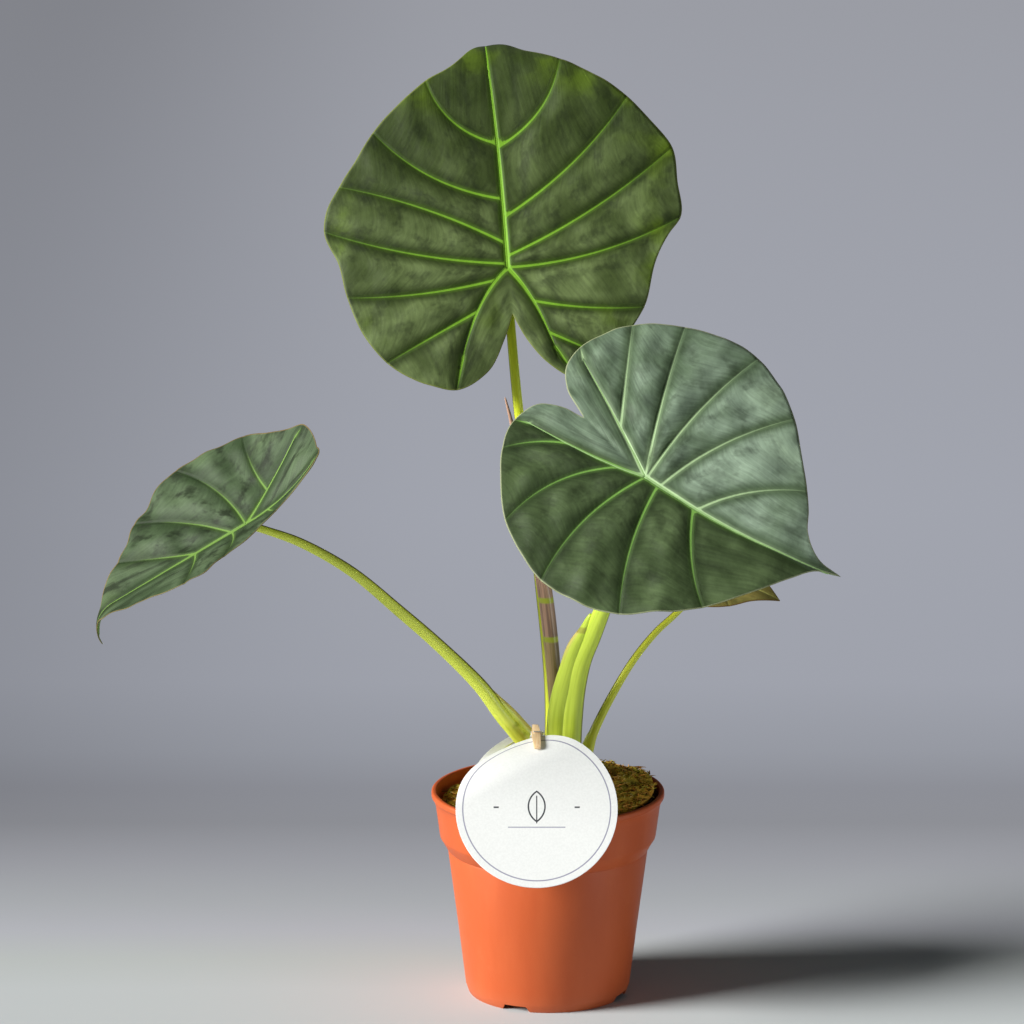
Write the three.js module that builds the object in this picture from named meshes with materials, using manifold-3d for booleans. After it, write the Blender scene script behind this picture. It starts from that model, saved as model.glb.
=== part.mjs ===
// A potted alocasia: four shield-shaped leaves on tall stalks and one rolled new leaf, rising
// from a corm in a moss-topped nursery pot, with a round card tag held by a small clothes-peg.
// Millimetres, +Z up, the origin at the middle of the pot's foot, the tag facing -Y.
import * as THREE from "three";
import { mergeVertices } from "three/addons/utils/BufferGeometryUtils.js";
import Module from "manifold-3d";

const wasm = await Module();
wasm.setup();

// The room left between two pieces that touch.
const GAP = 0.3;

// The pot: a 12 cm nursery pot.
const POT_HEIGHT = 107.6;
const RIM_RADIUS = 60;
const LIP_FOOT = 104.2;
const BAND_RADIUS = 55.6;
const BAND_TOP_RADIUS = 57.8;
const BAND_TOP = 100;
const BAND_FOOT = 83.2;
const NECK_RADIUS = 51.6;
const NECK_HEIGHT = 77;
const FOOT_RADIUS = 41;
const POT_WALL = 1.6;
const FLOOR_HEIGHT = 4;
const FLOOR_RADIUS = 42.2;
const NOTCH_WIDTH = 16;
const NOTCH_HEIGHT = 3;
const NOTCH_COUNT = 4;
const DRAIN_RADIUS = 4;
const DRAIN_RING = 24;
const DRAIN_COUNT = 6;

// The soil heaps up round the stalks, and is lower at the pot's left wall than at its right.
const SOIL_LEVEL = 101.5;
const SOIL_TILT = 0.06;
const MOUND_HEIGHT = 13.5;
const MOUND_SPREAD = 21;
const MOUND_X = 16;
const MOUND_Y = 2;
const MOSS_THICKNESS = 3.4;
const MOSS_EDGE = 94;
const MOUND_SEGMENTS = 28;

// The corm that every stalk grows from.
const CORM_RADIUS = 15;
const CORM_HEIGHT = 32;
const CORM_AT = [5, -10, 80];

// The leaves' tissue.
const BLADE_THICKNESS = 0.7;
const RIB_RELIEF = 0.9;
const RIB_CREST = 0.5;

// The round tag, bent back at its top, and the strap behind it.
const TAG_RADIUS = 41;
const TAG_THICKNESS = 0.8;
const TAG_SEGMENTS = 32;
const TAG_LEAN = THREE.MathUtils.degToRad(30.5);
const TAG_BEND_RADIUS = 26;
const TAG_BEND_FROM = 62.5;
const TAG_BEND_SKEW = 0.5;
const TAG_X = -6;
const TAG_FOOT = [-77.4, 78.4];
const STRAP_WIDTH = 5.6;

// The small wooden clothes-peg.
const PEG_LENGTH = 15.8;
const PEG_WIDTH = 5;
const PEG_GRIP = 10.4;
const PEG_LEAN = THREE.MathUtils.degToRad(62);
const SPRING_RADIUS = 1.6;
const SPRING_AT = 12.2;
const WIRE_RADIUS = 0.4;

const v3 = (x, y, z) => new THREE.Vector3(x, y, z);

// A closed triangle list, as three.js geometry with its shared corners merged.
function geometryOf(points, faces) {
  const geometry = new THREE.BufferGeometry();
  geometry.setAttribute("position", new THREE.Float32BufferAttribute(points.flat(), 3));
  geometry.setIndex(faces.flat());
  return mergeVertices(geometry, 1e-4);
}

// A closed geometry, as a solid that can be joined to another or cut from it.
function solidOf(geometry) {
  const bare = geometry.clone();
  bare.deleteAttribute("normal");
  bare.deleteAttribute("uv");
  const merged = mergeVertices(bare, 1e-4);
  const vertProperties = new Float32Array(merged.attributes.position.array);
  const triVerts = new Uint32Array(merged.index.array);
  return new wasm.Manifold(new wasm.Mesh({ numProp: 3, vertProperties, triVerts }));
}

// The largest body of a solid, without the scraps that a cut leaves loose.
function largest(solid) {
  const bodies = solid.decompose();
  return bodies.reduce((a, b) => (b.volume() > a.volume() ? b : a));
}

function finish(name, solid, colour, roughness, metalness = 0) {
  const { vertProperties, triVerts, numProp, numVert } = solid.getMesh();
  const points = new Float32Array(numVert * 3);
  for (let i = 0; i < numVert; i++) {
    points.set(vertProperties.subarray(i * numProp, i * numProp + 3), i * 3);
  }
  const geometry = new THREE.BufferGeometry();
  geometry.setAttribute("position", new THREE.BufferAttribute(points, 3));
  geometry.setIndex(new THREE.BufferAttribute(triVerts, 1));
  geometry.computeVertexNormals();
  const material = new THREE.MeshStandardMaterial({ color: colour, roughness, metalness });
  const mesh = new THREE.Mesh(geometry, material);
  mesh.name = name;
  return mesh;
}

// A turned piece: an outline of [radius, height] points round the Z axis.
function turned(outline, segments) {
  const profile = outline.map(([r, z]) => new THREE.Vector2(r, z));
  const geometry = new THREE.LatheGeometry(profile, segments);
  geometry.rotateX(Math.PI / 2);
  return geometry;
}

// The pot: a thin moulded wall with a wide rim band and a rolled lip, a floor with drain holes,
// and a foot ring cut by notches that let the water out.
function pot() {
  const outer = [
    [FOOT_RADIUS, 0],
    [FLOOR_RADIUS, FLOOR_HEIGHT],
    [NECK_RADIUS, NECK_HEIGHT],
    [BAND_RADIUS, BAND_FOOT],
    [BAND_TOP_RADIUS, BAND_TOP],
    [RIM_RADIUS - 0.8, LIP_FOOT],
    [RIM_RADIUS, LIP_FOOT + 1],
    [RIM_RADIUS, POT_HEIGHT - 0.8],
    [RIM_RADIUS - 0.7, POT_HEIGHT],
  ];
  const inner = [
    [RIM_RADIUS - 1.9, POT_HEIGHT],
    [RIM_RADIUS - 2.4, POT_HEIGHT - 0.8],
    [BAND_TOP_RADIUS - POT_WALL, BAND_TOP],
    [BAND_RADIUS - POT_WALL, BAND_FOOT],
    [NECK_RADIUS - POT_WALL, NECK_HEIGHT],
    [FLOOR_RADIUS - POT_WALL, FLOOR_HEIGHT + POT_WALL],
    [0, FLOOR_HEIGHT + POT_WALL],
  ];
  const under = [
    [0, FLOOR_HEIGHT],
    [FLOOR_RADIUS - POT_WALL, FLOOR_HEIGHT],
    [FOOT_RADIUS - POT_WALL, 0],
  ];
  let body = solidOf(turned([...under, ...outer, ...inner], 36));
  for (let i = 0; i < NOTCH_COUNT; i++) {
    const shape = new THREE.Shape();
    shape.moveTo(-NOTCH_WIDTH / 2, -1);
    shape.lineTo(NOTCH_WIDTH / 2, -1);
    shape.lineTo(NOTCH_WIDTH / 2 - 2, NOTCH_HEIGHT);
    shape.lineTo(-NOTCH_WIDTH / 2 + 2, NOTCH_HEIGHT);
    shape.closePath();
    const notch = new THREE.ExtrudeGeometry(shape, { depth: 14, bevelEnabled: false });
    notch.rotateX(Math.PI / 2);
    notch.translate(0, -FOOT_RADIUS + 11, 0);
    notch.rotateZ(THREE.MathUtils.degToRad(-24) + (i * 2 * Math.PI) / NOTCH_COUNT);
    body = body.subtract(solidOf(notch));
  }
  for (let i = 0; i < DRAIN_COUNT; i++) {
    const drain = new THREE.CylinderGeometry(DRAIN_RADIUS, DRAIN_RADIUS, 3 * POT_WALL, 10);
    drain.rotateX(Math.PI / 2);
    drain.translate(DRAIN_RING, 0, FLOOR_HEIGHT + POT_WALL / 2);
    drain.rotateZ((i * 2 * Math.PI) / DRAIN_COUNT);
    body = body.subtract(solidOf(drain));
  }
  return body;
}

// The inside radius of the pot at a height, a gap clear of the wall.
function insideRadius(z) {
  const floor = FLOOR_HEIGHT + POT_WALL;
  const [r0, z0, r1, z1] =
    z < NECK_HEIGHT
      ? [FLOOR_RADIUS, floor, NECK_RADIUS, NECK_HEIGHT]
      : z < BAND_FOOT
        ? [NECK_RADIUS, NECK_HEIGHT, BAND_RADIUS, BAND_FOOT]
        : [BAND_RADIUS, BAND_FOOT, BAND_TOP_RADIUS, BAND_TOP];
  return r0 + ((r1 - r0) * (z - z0)) / (z1 - z0) - POT_WALL - GAP * 1.5;
}

const bump = (x, y) => Math.sin(x * 0.31 + 1.3) * Math.cos(y * 0.27 - 0.6);

function soilTop(x, y) {
  const reach = ((x - MOUND_X) ** 2 + (y - MOUND_Y) ** 2) / (2 * MOUND_SPREAD ** 2);
  return SOIL_LEVEL + SOIL_TILT * x + MOUND_HEIGHT * Math.exp(-reach) + 0.7 * bump(x, y);
}

// Moss lies on the soil in cushions, thin where two cushions meet.
function mossTop(x, y) {
  const cushion = Math.sin(x * 0.42 + 2 * Math.sin(y * 0.19)) * Math.sin(y * 0.47 + x * 0.11);
  return soilTop(x, y) + GAP + MOSS_THICKNESS + 1.5 * cushion;
}

// A round sheet over rings of points: `pointAt` gives the point of its upper side (0) or its
// lower side (1) that lies over [x, y] of a flat disc.
function roundSheet(radii, segments, pointAt) {
  const points = [pointAt(0, 0, 0), pointAt(0, 0, 1)];
  const faces = [];
  for (const r of radii) {
    for (let i = 0; i < segments; i++) {
      const angle = (i * 2 * Math.PI) / segments;
      const [x, y] = [r * Math.cos(angle), r * Math.sin(angle)];
      points.push(pointAt(x, y, 0), pointAt(x, y, 1));
    }
  }
  const at = (ring, i) => (ring === 0 ? 0 : 2 + ((ring - 1) * segments + (i % segments)) * 2);
  for (let i = 0; i < segments; i++) {
    for (let ring = 0; ring < radii.length; ring++) {
      const [a, b] = [at(ring, i), at(ring + 1, i)];
      const [d, c] = [at(ring, i + 1), at(ring + 1, i + 1)];
      faces.push([a, b, c], [a + 1, c + 1, b + 1]);
      if (ring > 0) faces.push([a, c, d], [a + 1, d + 1, c + 1]);
    }
    const [edge, next] = [at(radii.length, i), at(radii.length, i + 1)];
    faces.push([edge, edge + 1, next + 1], [edge, next + 1, next]);
  }
  return solidOf(geometryOf(points, faces));
}

// The rings that the soil's top and the moss share, so that one lies evenly on the other.
const moundRadii = [0.17, 0.34, 0.51, 0.67, 0.84, 1].map((share) => share * insideRadius(MOSS_EDGE));

// The soil: it fills the pot from the floor up to its heaped top.
function soil() {
  const bottom = FLOOR_HEIGHT + POT_WALL + GAP;
  const wall = [
    [0, bottom],
    [insideRadius(bottom), bottom],
    [insideRadius(NECK_HEIGHT), NECK_HEIGHT],
    [insideRadius(BAND_FOOT), BAND_FOOT],
    [insideRadius(BAND_TOP), POT_HEIGHT],
    [0, POT_HEIGHT + MOUND_HEIGHT],
  ];
  const filling = solidOf(turned(wall, 36));
  const heap = roundSheet([...moundRadii, RIM_RADIUS + 10], MOUND_SEGMENTS, (x, y, side) => [
    x,
    y,
    side ? 0 : soilTop(x, y),
  ]);
  return filling.intersect(heap);
}

function moss() {
  return roundSheet(moundRadii, MOUND_SEGMENTS, (x, y, side) => [
    x,
    y,
    side ? soilTop(x, y) + GAP : mossTop(x, y),
  ]);
}

// The corm: a knobbly upright tuber, buried in the soil.
function corm(grow = 0) {
  const outline = [[0, -grow]];
  for (let i = 1; i < 9; i++) {
    const t = i / 9;
    const ring = i % 2 ? 0.4 : -0.4;
    outline.push([CORM_RADIUS * Math.sin(Math.PI * t) ** 0.6 + ring + grow, CORM_HEIGHT * t]);
  }
  outline.push([0, CORM_HEIGHT + grow]);
  const geometry = turned(outline, 16);
  geometry.translate(...CORM_AT);
  return solidOf(geometry);
}

// A swept piece: sections with the given half-widths along a smooth route. Each route point is
// [x, y, z, half-width, half-depth], and the depth axis keeps as close to `depthwards` as it can.
function swept(route, { steps, sides = 8, grow = 0, depthwards = v3(0, 1, 0), square = false }) {
  const curve = new THREE.CatmullRomCurve3(route.map(([x, y, z]) => v3(x, y, z)), false, "centripetal");
  const points = [];
  const faces = [];
  const last = route.length - 1;
  for (let i = 0; i <= steps; i++) {
    const t = i / steps;
    const here = curve.getPoint(t);
    const tangent = curve.getTangent(t);
    const depth = depthwards.clone().addScaledVector(tangent, -tangent.dot(depthwards)).normalize();
    const width = depth.clone().cross(tangent).normalize();
    const segment = Math.min(Math.floor(t * last), last - 1);
    const part = t * last - segment;
    const blend = (k) => route[segment][k] * (1 - part) + route[segment + 1][k] * part + grow;
    const end = i === 0 ? -grow : i === steps ? grow : 0;
    here.addScaledVector(tangent, end);
    for (let j = 0; j < sides; j++) {
      const angle = ((j + (square ? 0.5 : 0)) * 2 * Math.PI) / sides;
      const reach = square ? Math.SQRT2 : 1;
      const at = here.clone();
      at.addScaledVector(width, blend(3) * reach * Math.cos(angle));
      at.addScaledVector(depth, blend(4) * reach * Math.sin(angle));
      points.push(at.toArray());
    }
  }
  for (let j = 0; j < sides; j++) {
    const k = (j + 1) % sides;
    for (let i = 0; i < steps; i++) {
      const a = i * sides;
      const b = a + sides;
      faces.push([a + j, b + k, b + j], [a + j, a + k, b + k]);
    }
    if (j > 0 && k > 0) {
      const top = steps * sides;
      faces.push([0, k, j], [top, top + j, top + k]);
    }
  }
  const solid = solidOf(geometryOf(points, faces));
  return solid.volume() < 0 ? solidOf(geometryOf(points, faces.map(([a, b, c]) => [a, c, b]))) : solid;
}

// The leaf stalks. Each runs from the corm to the underside of its blade, and its lower part
// has a sheath along one edge that once wrapped the next leaf.
const STALKS = {
  right: {
    steps: 18,
    stalk: [
      [8, -12, 104, 5, 4.5],
      [10.5, -15, 122, 5.6, 4.8],
      [12, -16, 149, 5.6, 4.6],
      [13.6, -17, 165, 5.4, 4.4],
      [17, -22, 182, 5, 4.2],
      [22, -27, 196, 4.7, 4],
      [26, -32, 208, 4.4, 3.8],
      [33, -43, 230, 3.7, 3.4],
      [40.6, -55, 256, 3, 3],
      [45.8, -65.5, 277, 2.5, 2.5],
      [47.7, -70, 289, 2.3, 2.3],
    ],
    sheath: [
      [5, -13, 104, 5, 4.4],
      [5, -15, 122, 5.8, 4.6],
      [5.2, -15, 149, 5.8, 4.2],
      [6.8, -16.4, 162, 5.4, 3.8],
      [10.2, -19.4, 176, 5, 3.5],
      [14, -24, 190, 4.4, 3.2],
      [18.4, -28, 200.5, 2.5, 2.3],
      [21.6, -31, 209.5, 1.2, 1.4],
    ],
  },
  left: {
    steps: 20,
    stalk: [
      [1, -13, 104, 4.4, 4],
      [-3.6, -14, 120, 4.8, 4.4],
      [-11, -16.5, 136.5, 4.7, 4.4],
      [-17.3, -19.5, 145.4, 4.5, 4.3],
      [-23.6, -23, 153.9, 4.2, 4.1],
      [-34.8, -28, 170.6, 3.7, 3.6],
      [-55, -33, 192.6, 3.2, 3.1],
      [-75, -38, 212, 3, 2.8],
      [-100, -44, 235, 2.6, 2.5],
      [-125, -48, 250.6, 2.3, 2.2],
      [-142, -50, 257.4, 2, 2],
      [-151, -50, 260.2, 2, 2],
    ],
    sheath: [
      [3, -12, 106, 3.4, 3],
      [0.4, -12.6, 120, 4, 3.4],
      [-7.4, -15.4, 137.2, 3.8, 3.2],
      [-13.6, -18.2, 146, 3.5, 3],
      [-19.6, -21.6, 154.4, 3, 2.7],
      [-26.4, -24.6, 163, 2, 2],
      [-32.6, -27, 171, 1, 1.2],
    ],
  },
  top: {
    steps: 20,
    stalk: [
      [4, -6, 104, 4, 4],
      [3.4, -1, 118, 4.4, 4.2],
      [2.6, 2, 133.4, 4.2, 4],
      [2.1, 4, 154, 3.8, 3.8],
      [0.5, 6, 175, 3.4, 3.4],
      [-3.6, 8, 211.5, 2.9, 2.9],
      [-8.9, 12, 258, 2.6, 2.6],
      [-15.2, 18, 303.8, 2.5, 2.5],
      [-19, 24, 344.2, 2.4, 2.4],
      [-20.4, 31, 363.6, 2.3, 2.3],
      [-20.6, 33, 371.5, 2.2, 2.2],
      [-20.8, 31.5, 376, 2.2, 2.2],
    ],
  },
  small: {
    steps: 15,
    stalk: [
      [13, -9, 106, 2.6, 2.6],
      [18.4, -8, 120, 2.8, 2.6],
      [20.8, -7, 131, 2.7, 2.4],
      [23, -7, 139, 2.4, 2.2],
      [31.3, -4, 156, 2.1, 2],
      [43.8, 2, 176, 1.9, 1.9],
      [55.4, 8, 189.2, 1.8, 1.8],
      [65.4, 13, 197.4, 1.7, 1.7],
      [74.6, 18, 206, 1.6, 1.6],
      [80, 20, 217, 1.6, 1.6],
    ],
    sheath: [
      [15.4, -9, 116, 2.2, 1.8],
      [17.6, -7.4, 127, 2.1, 1.6],
      [19.8, -7.2, 135, 1.6, 1.3],
      [22.6, -6.6, 142, 0.9, 0.8],
    ],
  },
};

// The rolled new leaf, still in its scale leaf: a spear that tapers to a fine point.
const SPEAR = [
  [4.8, -8, 106, 2.4, 2.4],
  [4.4, -6.6, 122, 2.8, 2.4],
  [4.1, -5.6, 146, 3.2, 2.8],
  [2.7, -5.4, 173, 3.7, 3.4],
  [1.4, -5, 188, 3.8, 3.6],
  [-1.9, -4, 215, 3.8, 3.6],
  [-10.4, 0, 261, 2.6, 2.6],
  [-19, 2, 302, 1, 1],
  [-22.1, 3, 314, 0.4, 0.4],
];

function stalk(name, grow = 0) {
  const { steps, stalk: route, sheath } = STALKS[name];
  const rod = swept(route, { steps, grow });
  return sheath ? rod.add(swept(sheath, { steps: 9, sides: 6, grow })) : rod;
}

// The leaf blades. Each lies in a frame of its own: the hub where the stalk joins, the way its
// tip points and the way its face looks. A blade folds up from its midrib, its sides and back
// lobes rise or droop, and past `bendFrom` its front bends back on an arc.
//
// Each side is a list of rows from the tip round to the notch between the lobes. A row is
// [rib, x, y, arch, vein]: where it leaves the rib (millimetres up the midrib, or back along
// the lobe's rib where negative), where it meets the margin, how far it arches back towards
// the base, and whether a vein runs along it.
const LEAVES = {
  top: {
    hub: [-20.8, 30, 375.4],
    tipwards: [-0.1, 0.504, 0.858],
    facing: [-0.06, -0.864, 0.5],
    length: 144,
    halfWidth: 91,
    lobeLength: 62,
    fold: 0.05,
    crease: 8,
    droop: 6,
    lobeDroop: 4,
    bendFrom: 100,
    bendRadius: 30,
    sweep: 1.5,
    puff: 2.6,
    between: [0.2, 0.5, 0.8],
    ribRadius: [2.1, 0.6],
    lobeRibs: { right: [[14, -18], [21, -50]], left: [[-18, -14], [-29, -50]] },
    notch: [0, -25],
    tip: [0, 146],
    right: [
      [128, 7, 134, 0, 0],
      [112, 17, 122, 0, 0],
      [65, 37, 110, 7, 1],
      [52, 48, 103, 6, 0],
      [27, 69, 85, 5, 1],
      [18, 79, 71, 5, 0],
      [6, 89, 55, 4.5, 1],
      [3, 90, 36, 5, 0],
      [0, 90, 17, 6, 1],
      [-8, 83, 8, 4, 0],
      [-13, 76, -4, 3, 0],
      [-25, 67, -29, 2, 1],
      [-36, 58, -41, 1, 0],
      [-43, 47, -54, 0, 1],
      [-50, 30, -62, 0, 1],
      [-40, 15, -52, 0, 0],
      [-24, 5, -37, 0, 0],
    ],
    left: [
      [128, -8, 129, 0, 0],
      [112, -17, 115, 2, 0],
      [67, -33, 106, 7, 1],
      [52, -45, 97, 7, 0],
      [37, -63, 81, 7, 1],
      [26, -74, 66, 3, 0],
      [13, -83, 54, -3, 1],
      [8, -91, 40, 1, 0],
      [2, -92.5, 31, 4, 1],
      [0, -86, 12, 3, 0],
      [-11, -83, -6, 3, 1],
      [-22, -77, -26, 2, 0],
      [-32, -66, -43, 0, 1],
      [-44, -46, -57, 0, 0],
      [-54, -32, -61, 0, 1],
      [-40, -16, -54, 0, 0],
      [-24, -5, -37, 0, 0],
    ],
  },
  right: {
    hub: [47.7, -70, 289.4],
    tipwards: [0.839, -0.422, -0.344],
    facing: [-0.075, -0.715, 0.695],
    length: 112,
    halfWidth: 90,
    lobeLength: 82,
    fold: 0.06,
    crease: 8,
    droop: 9,
    lobeDroop: 7,
    bendFrom: 70,
    bendRadius: 70,
    sweep: 4,
    puff: 2.8,
    between: [0.2, 0.5, 0.8],
    ribRadius: [2.2, 0.6],
    lobeRibs: { right: [[5, -24], [0, -70]], left: [[-16, -22], [-45, -66]] },
    notch: [-15, -46],
    tip: [-6, 112],
    right: [
      [98, -1, 100, 0, 0],
      [80, 9, 92, 0, 0],
      [54, 25, 81, 2, 0],
      [30, 45, 64, 3, 1],
      [20, 59, 46, 5, 0],
      [8, 69, 30, 4, 1],
      [3, 76, 9, 5, 0],
      [0, 75, -14, 6, 1],
      [-10, 66, -33, 6, 0],
      [-20, 55, -48, 7, 1],
      [-36, 36, -63, 4, 0],
      [-50, 19, -73, 2, 1],
      [-69, 2, -77, 0, 1],
      [-56, -12, -70, 0, 0],
      [-40, -15, -58, 0, 0],
    ],
    left: [
      [98, -7, 99, 0, 0],
      [78, -17, 86, 1, 0],
      [54, -28, 80, 3, 0],
      [32, -37, 74, 5, 1],
      [20, -56, 59, 6, 0],
      [9, -71, 46, 4.5, 1],
      [4, -84, 28, 4, 0],
      [1, -90.5, 11, 3, 1],
      [0, -90, -12, 3, 0],
      [0, -87, -31, 1, 1],
      [-20, -82, -42, 0, 0],
      [-38, -75, -55, 0, 1],
      [-58, -63, -65, 0, 0],
      [-79, -51, -71, 0, 1],
      [-66, -38, -71, 0, 0],
      [-48, -26, -63, 0, 0],
    ],
  },
  left: {
    hub: [-152, -50, 260.4],
    tipwards: [-0.85, 0.02, -0.52],
    facing: [-0.48, -0.3, 0.805],
    length: 102,
    halfWidth: 55,
    lobeLength: 50,
    fold: 0.32,
    crease: 5,
    droop: 0,
    lobeDroop: -14,
    bendFrom: 79,
    bendRadius: 17,
    sweep: 0,
    puff: 2,
    between: [0.2, 0.5, 0.8],
    ribRadius: [1.8, 0.6],
    lobeRibs: { right: [[15, -18], [23, -42]], left: [[-1, -16], [-3, -46]] },
    notch: [3, -52],
    tip: [0, 106],
    right: [
      [90, 2.5, 92, 0, 0],
      [84, 4.5, 87, 0, 0],
      [74, 10.4, 82.7, 0, 0],
      [58, 17.7, 76.5, 0, 0],
      [29, 23, 70, 0, 1],
      [18, 31, 62.3, 1.5, 0],
      [8, 39.6, 55, 3.3, 1],
      [5, 44.8, 47.3, 4, 0],
      [2, 51.3, 37.7, 4.5, 0],
      [0, 56.5, 25, 4.7, 1],
      [-8, 56, 8, 2, 0],
      [-15, 54.6, -4.7, 0, 0],
      [-21, 51.9, -14.8, -2, 1],
      [-29, 46.5, -22.5, 0, 0],
      [-36, 38.8, -30.9, 0, 0],
      [-42, 31.6, -40, 0, 0],
      [-49, 23.1, -49.5, 0, 1],
      [-43, 17.4, -51.6, 0, 0],
      [-24, 9.4, -52.5, 0, 0],
    ],
    left: [
      [90, -2, 91, 0, 0],
      [80, -11, 84.5, 0, 0],
      [70, -15.5, 78, 0, 0],
      [56, -23.3, 66.3, 0, 0],
      [42, -37, 47.5, 1, 0],
      [30, -43.5, 33.5, 1, 1],
      [19, -44, 22, 1, 0],
      [8, -35.5, 10.5, 2, 1],
      [0, -28, -3, 0, 0],
      [-8, -20, -10.4, 0, 0],
      [-17, -13, -19.2, 0, 1],
      [-28, -9.5, -29, 0, 0],
      [-38, -7.5, -39, 0, 0],
      [-46, -6.5, -48, 0, 0],
      [-50, -3.5, -52.5, 0, 1],
      [-34, 0, -53, 0, 0],
    ],
  },
  small: {
    hub: [80.2, 20, 217.4],
    tipwards: [0.93, -0.15, -0.26],
    facing: [0.15, -0.62, 0.77],
    length: 44,
    halfWidth: 26,
    lobeLength: 20,
    fold: 0.2,
    crease: 3,
    droop: 3,
    lobeDroop: 2,
    bendFrom: 25,
    bendRadius: 40,
    sweep: 0,
    puff: 1,
    between: [0.3, 0.7],
    ribRadius: [1.2, 0.5],
    lobeRibs: { right: [[6, -6], [9, -15]], left: [[-6, -6], [-9, -15]] },
    notch: [0, -8],
    tip: [0, 42],
    right: [
      [26, 9, 28, 0, 0],
      [12, 17, 18, 1, 1],
      [0, 23, 0, 1, 1],
      [-15, 12, -20, 0, 1],
      [-8, 4, -14, 0, 0],
    ],
    left: [
      [26, -9, 28, 0, 0],
      [12, -17, 18, 1, 1],
      [0, -23, 0, 1, 1],
      [-15, -12, -20, 0, 1],
      [-8, -4, -14, 0, 0],
    ],
  },
};

// A point of the blade, `up` above its middle surface, in the part's frame.
function laid(leaf, x, y, up) {
  const tipwards = v3(...leaf.tipwards).normalize();
  const facing = v3(...leaf.facing);
  facing.addScaledVector(tipwards, -facing.dot(tipwards)).normalize();
  const rightwards = tipwards.clone().cross(facing);
  let height = up;
  height += leaf.fold * (Math.hypot(x, leaf.crease) - leaf.crease);
  height -= leaf.droop * (x / leaf.halfWidth) ** 2;
  height -= leaf.lobeDroop * (Math.min(0, y) / leaf.lobeLength) ** 2;
  let along = y;
  if (y > leaf.bendFrom) {
    const turn = (y - leaf.bendFrom) / leaf.bendRadius;
    along = leaf.bendFrom + (leaf.bendRadius + height) * Math.sin(turn);
    height = (leaf.bendRadius + height) * Math.cos(turn) - leaf.bendRadius;
  }
  const across = x + leaf.sweep * Math.sin((Math.PI * Math.max(0, y)) / leaf.length);
  return v3(...leaf.hub)
    .addScaledVector(rightwards, across)
    .addScaledVector(tipwards, along)
    .addScaledVector(facing, height);
}

// A smooth margin through a side's edge points: a cubic between points `i` and `i + 1`.
function margin(edge, i, q) {
  const span = (k) => Math.hypot(edge[k + 1][0] - edge[k][0], edge[k + 1][1] - edge[k][1]);
  const slope = (k, axis) => (edge[k + 1][axis] - edge[k][axis]) / span(k);
  const tangent = (k, axis) => {
    if (k === 0) return slope(0, axis);
    if (k === edge.length - 1) return slope(k - 1, axis);
    const [before, after] = [span(k - 1), span(k)];
    return (slope(k - 1, axis) * after + slope(k, axis) * before) / (before + after);
  };
  const h = span(i);
  return [0, 1].map(
    (axis) =>
      edge[i][axis] * (2 * q ** 3 - 3 * q ** 2 + 1) +
      edge[i + 1][axis] * (3 * q ** 2 - 2 * q ** 3) +
      tangent(i, axis) * h * (q ** 3 - 2 * q ** 2 + q) +
      tangent(i + 1, axis) * h * (q ** 3 - q ** 2),
  );
}

// A point up the midrib, which bends sideways into the drip tip.
function upMidrib(leaf, distance) {
  const [x, y] = leaf.tip;
  return [x * (Math.max(0, distance) / y) ** 8, distance];
}

// A point on the leaf's ribs: up the midrib, or back along one lobe's rib.
function ribPoint(leaf, side, distance) {
  if (distance >= 0) return upMidrib(leaf, distance);
  const [[cx, cy], [ex, ey]] = leaf.lobeRibs[side];
  const length = (Math.hypot(cx, cy) + Math.hypot(ex - cx, ey - cy) + Math.hypot(ex, ey)) / 2;
  return alongLobe(leaf, side, Math.min(1, -distance / length));
}

function alongLobe(leaf, side, t) {
  const [[cx, cy], [ex, ey]] = leaf.lobeRibs[side];
  return [2 * t * (1 - t) * cx + t * t * ex, 2 * t * (1 - t) * cy + t * t * ey];
}

// One side's rows, with rows between the given ones: each has its ends, its arch, how far it
// lies from one vein to the next (0 to 1) and whether a vein runs along it.
function rowsOf(leaf, side) {
  const start = [leaf.length - 6, ...leaf.tip, 0, 1];
  const end = [0, ...leaf.notch, 0, 1];
  const given = [start, ...leaf[side], end];
  const edge = given.map(([, x, y]) => [x, y]);
  const veins = given.map(([, , , , vein], i) => (vein ? i : -1)).filter((i) => i >= 0);
  const rows = [];
  for (let i = 0; i < given.length - 1; i++) {
    const from = Math.max(...veins.filter((v) => v <= i));
    const to = Math.min(...veins.filter((v) => v > i));
    const between = to - from === 1 ? leaf.between : i === from ? [0.35] : i === to - 1 ? [0.65] : [];
    for (const q of [0, ...between]) {
      const mix = (k) => given[i][k] * (1 - q) + given[i + 1][k] * q;
      rows.push({
        rib: ribPoint(leaf, side, mix(0)),
        edge: margin(edge, i, q),
        arch: side === "right" ? mix(3) : -mix(3),
        phase: (i + q - from) / (to - from),
        vein: q === 0 && given[i][4] === 1,
      });
    }
  }
  rows.push({ rib: [0, 0], edge: leaf.notch, arch: 0, phase: 0, vein: false });
  return rows;
}

const ACROSS = [0, 0.14, 0.42, 0.74, 1];

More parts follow.
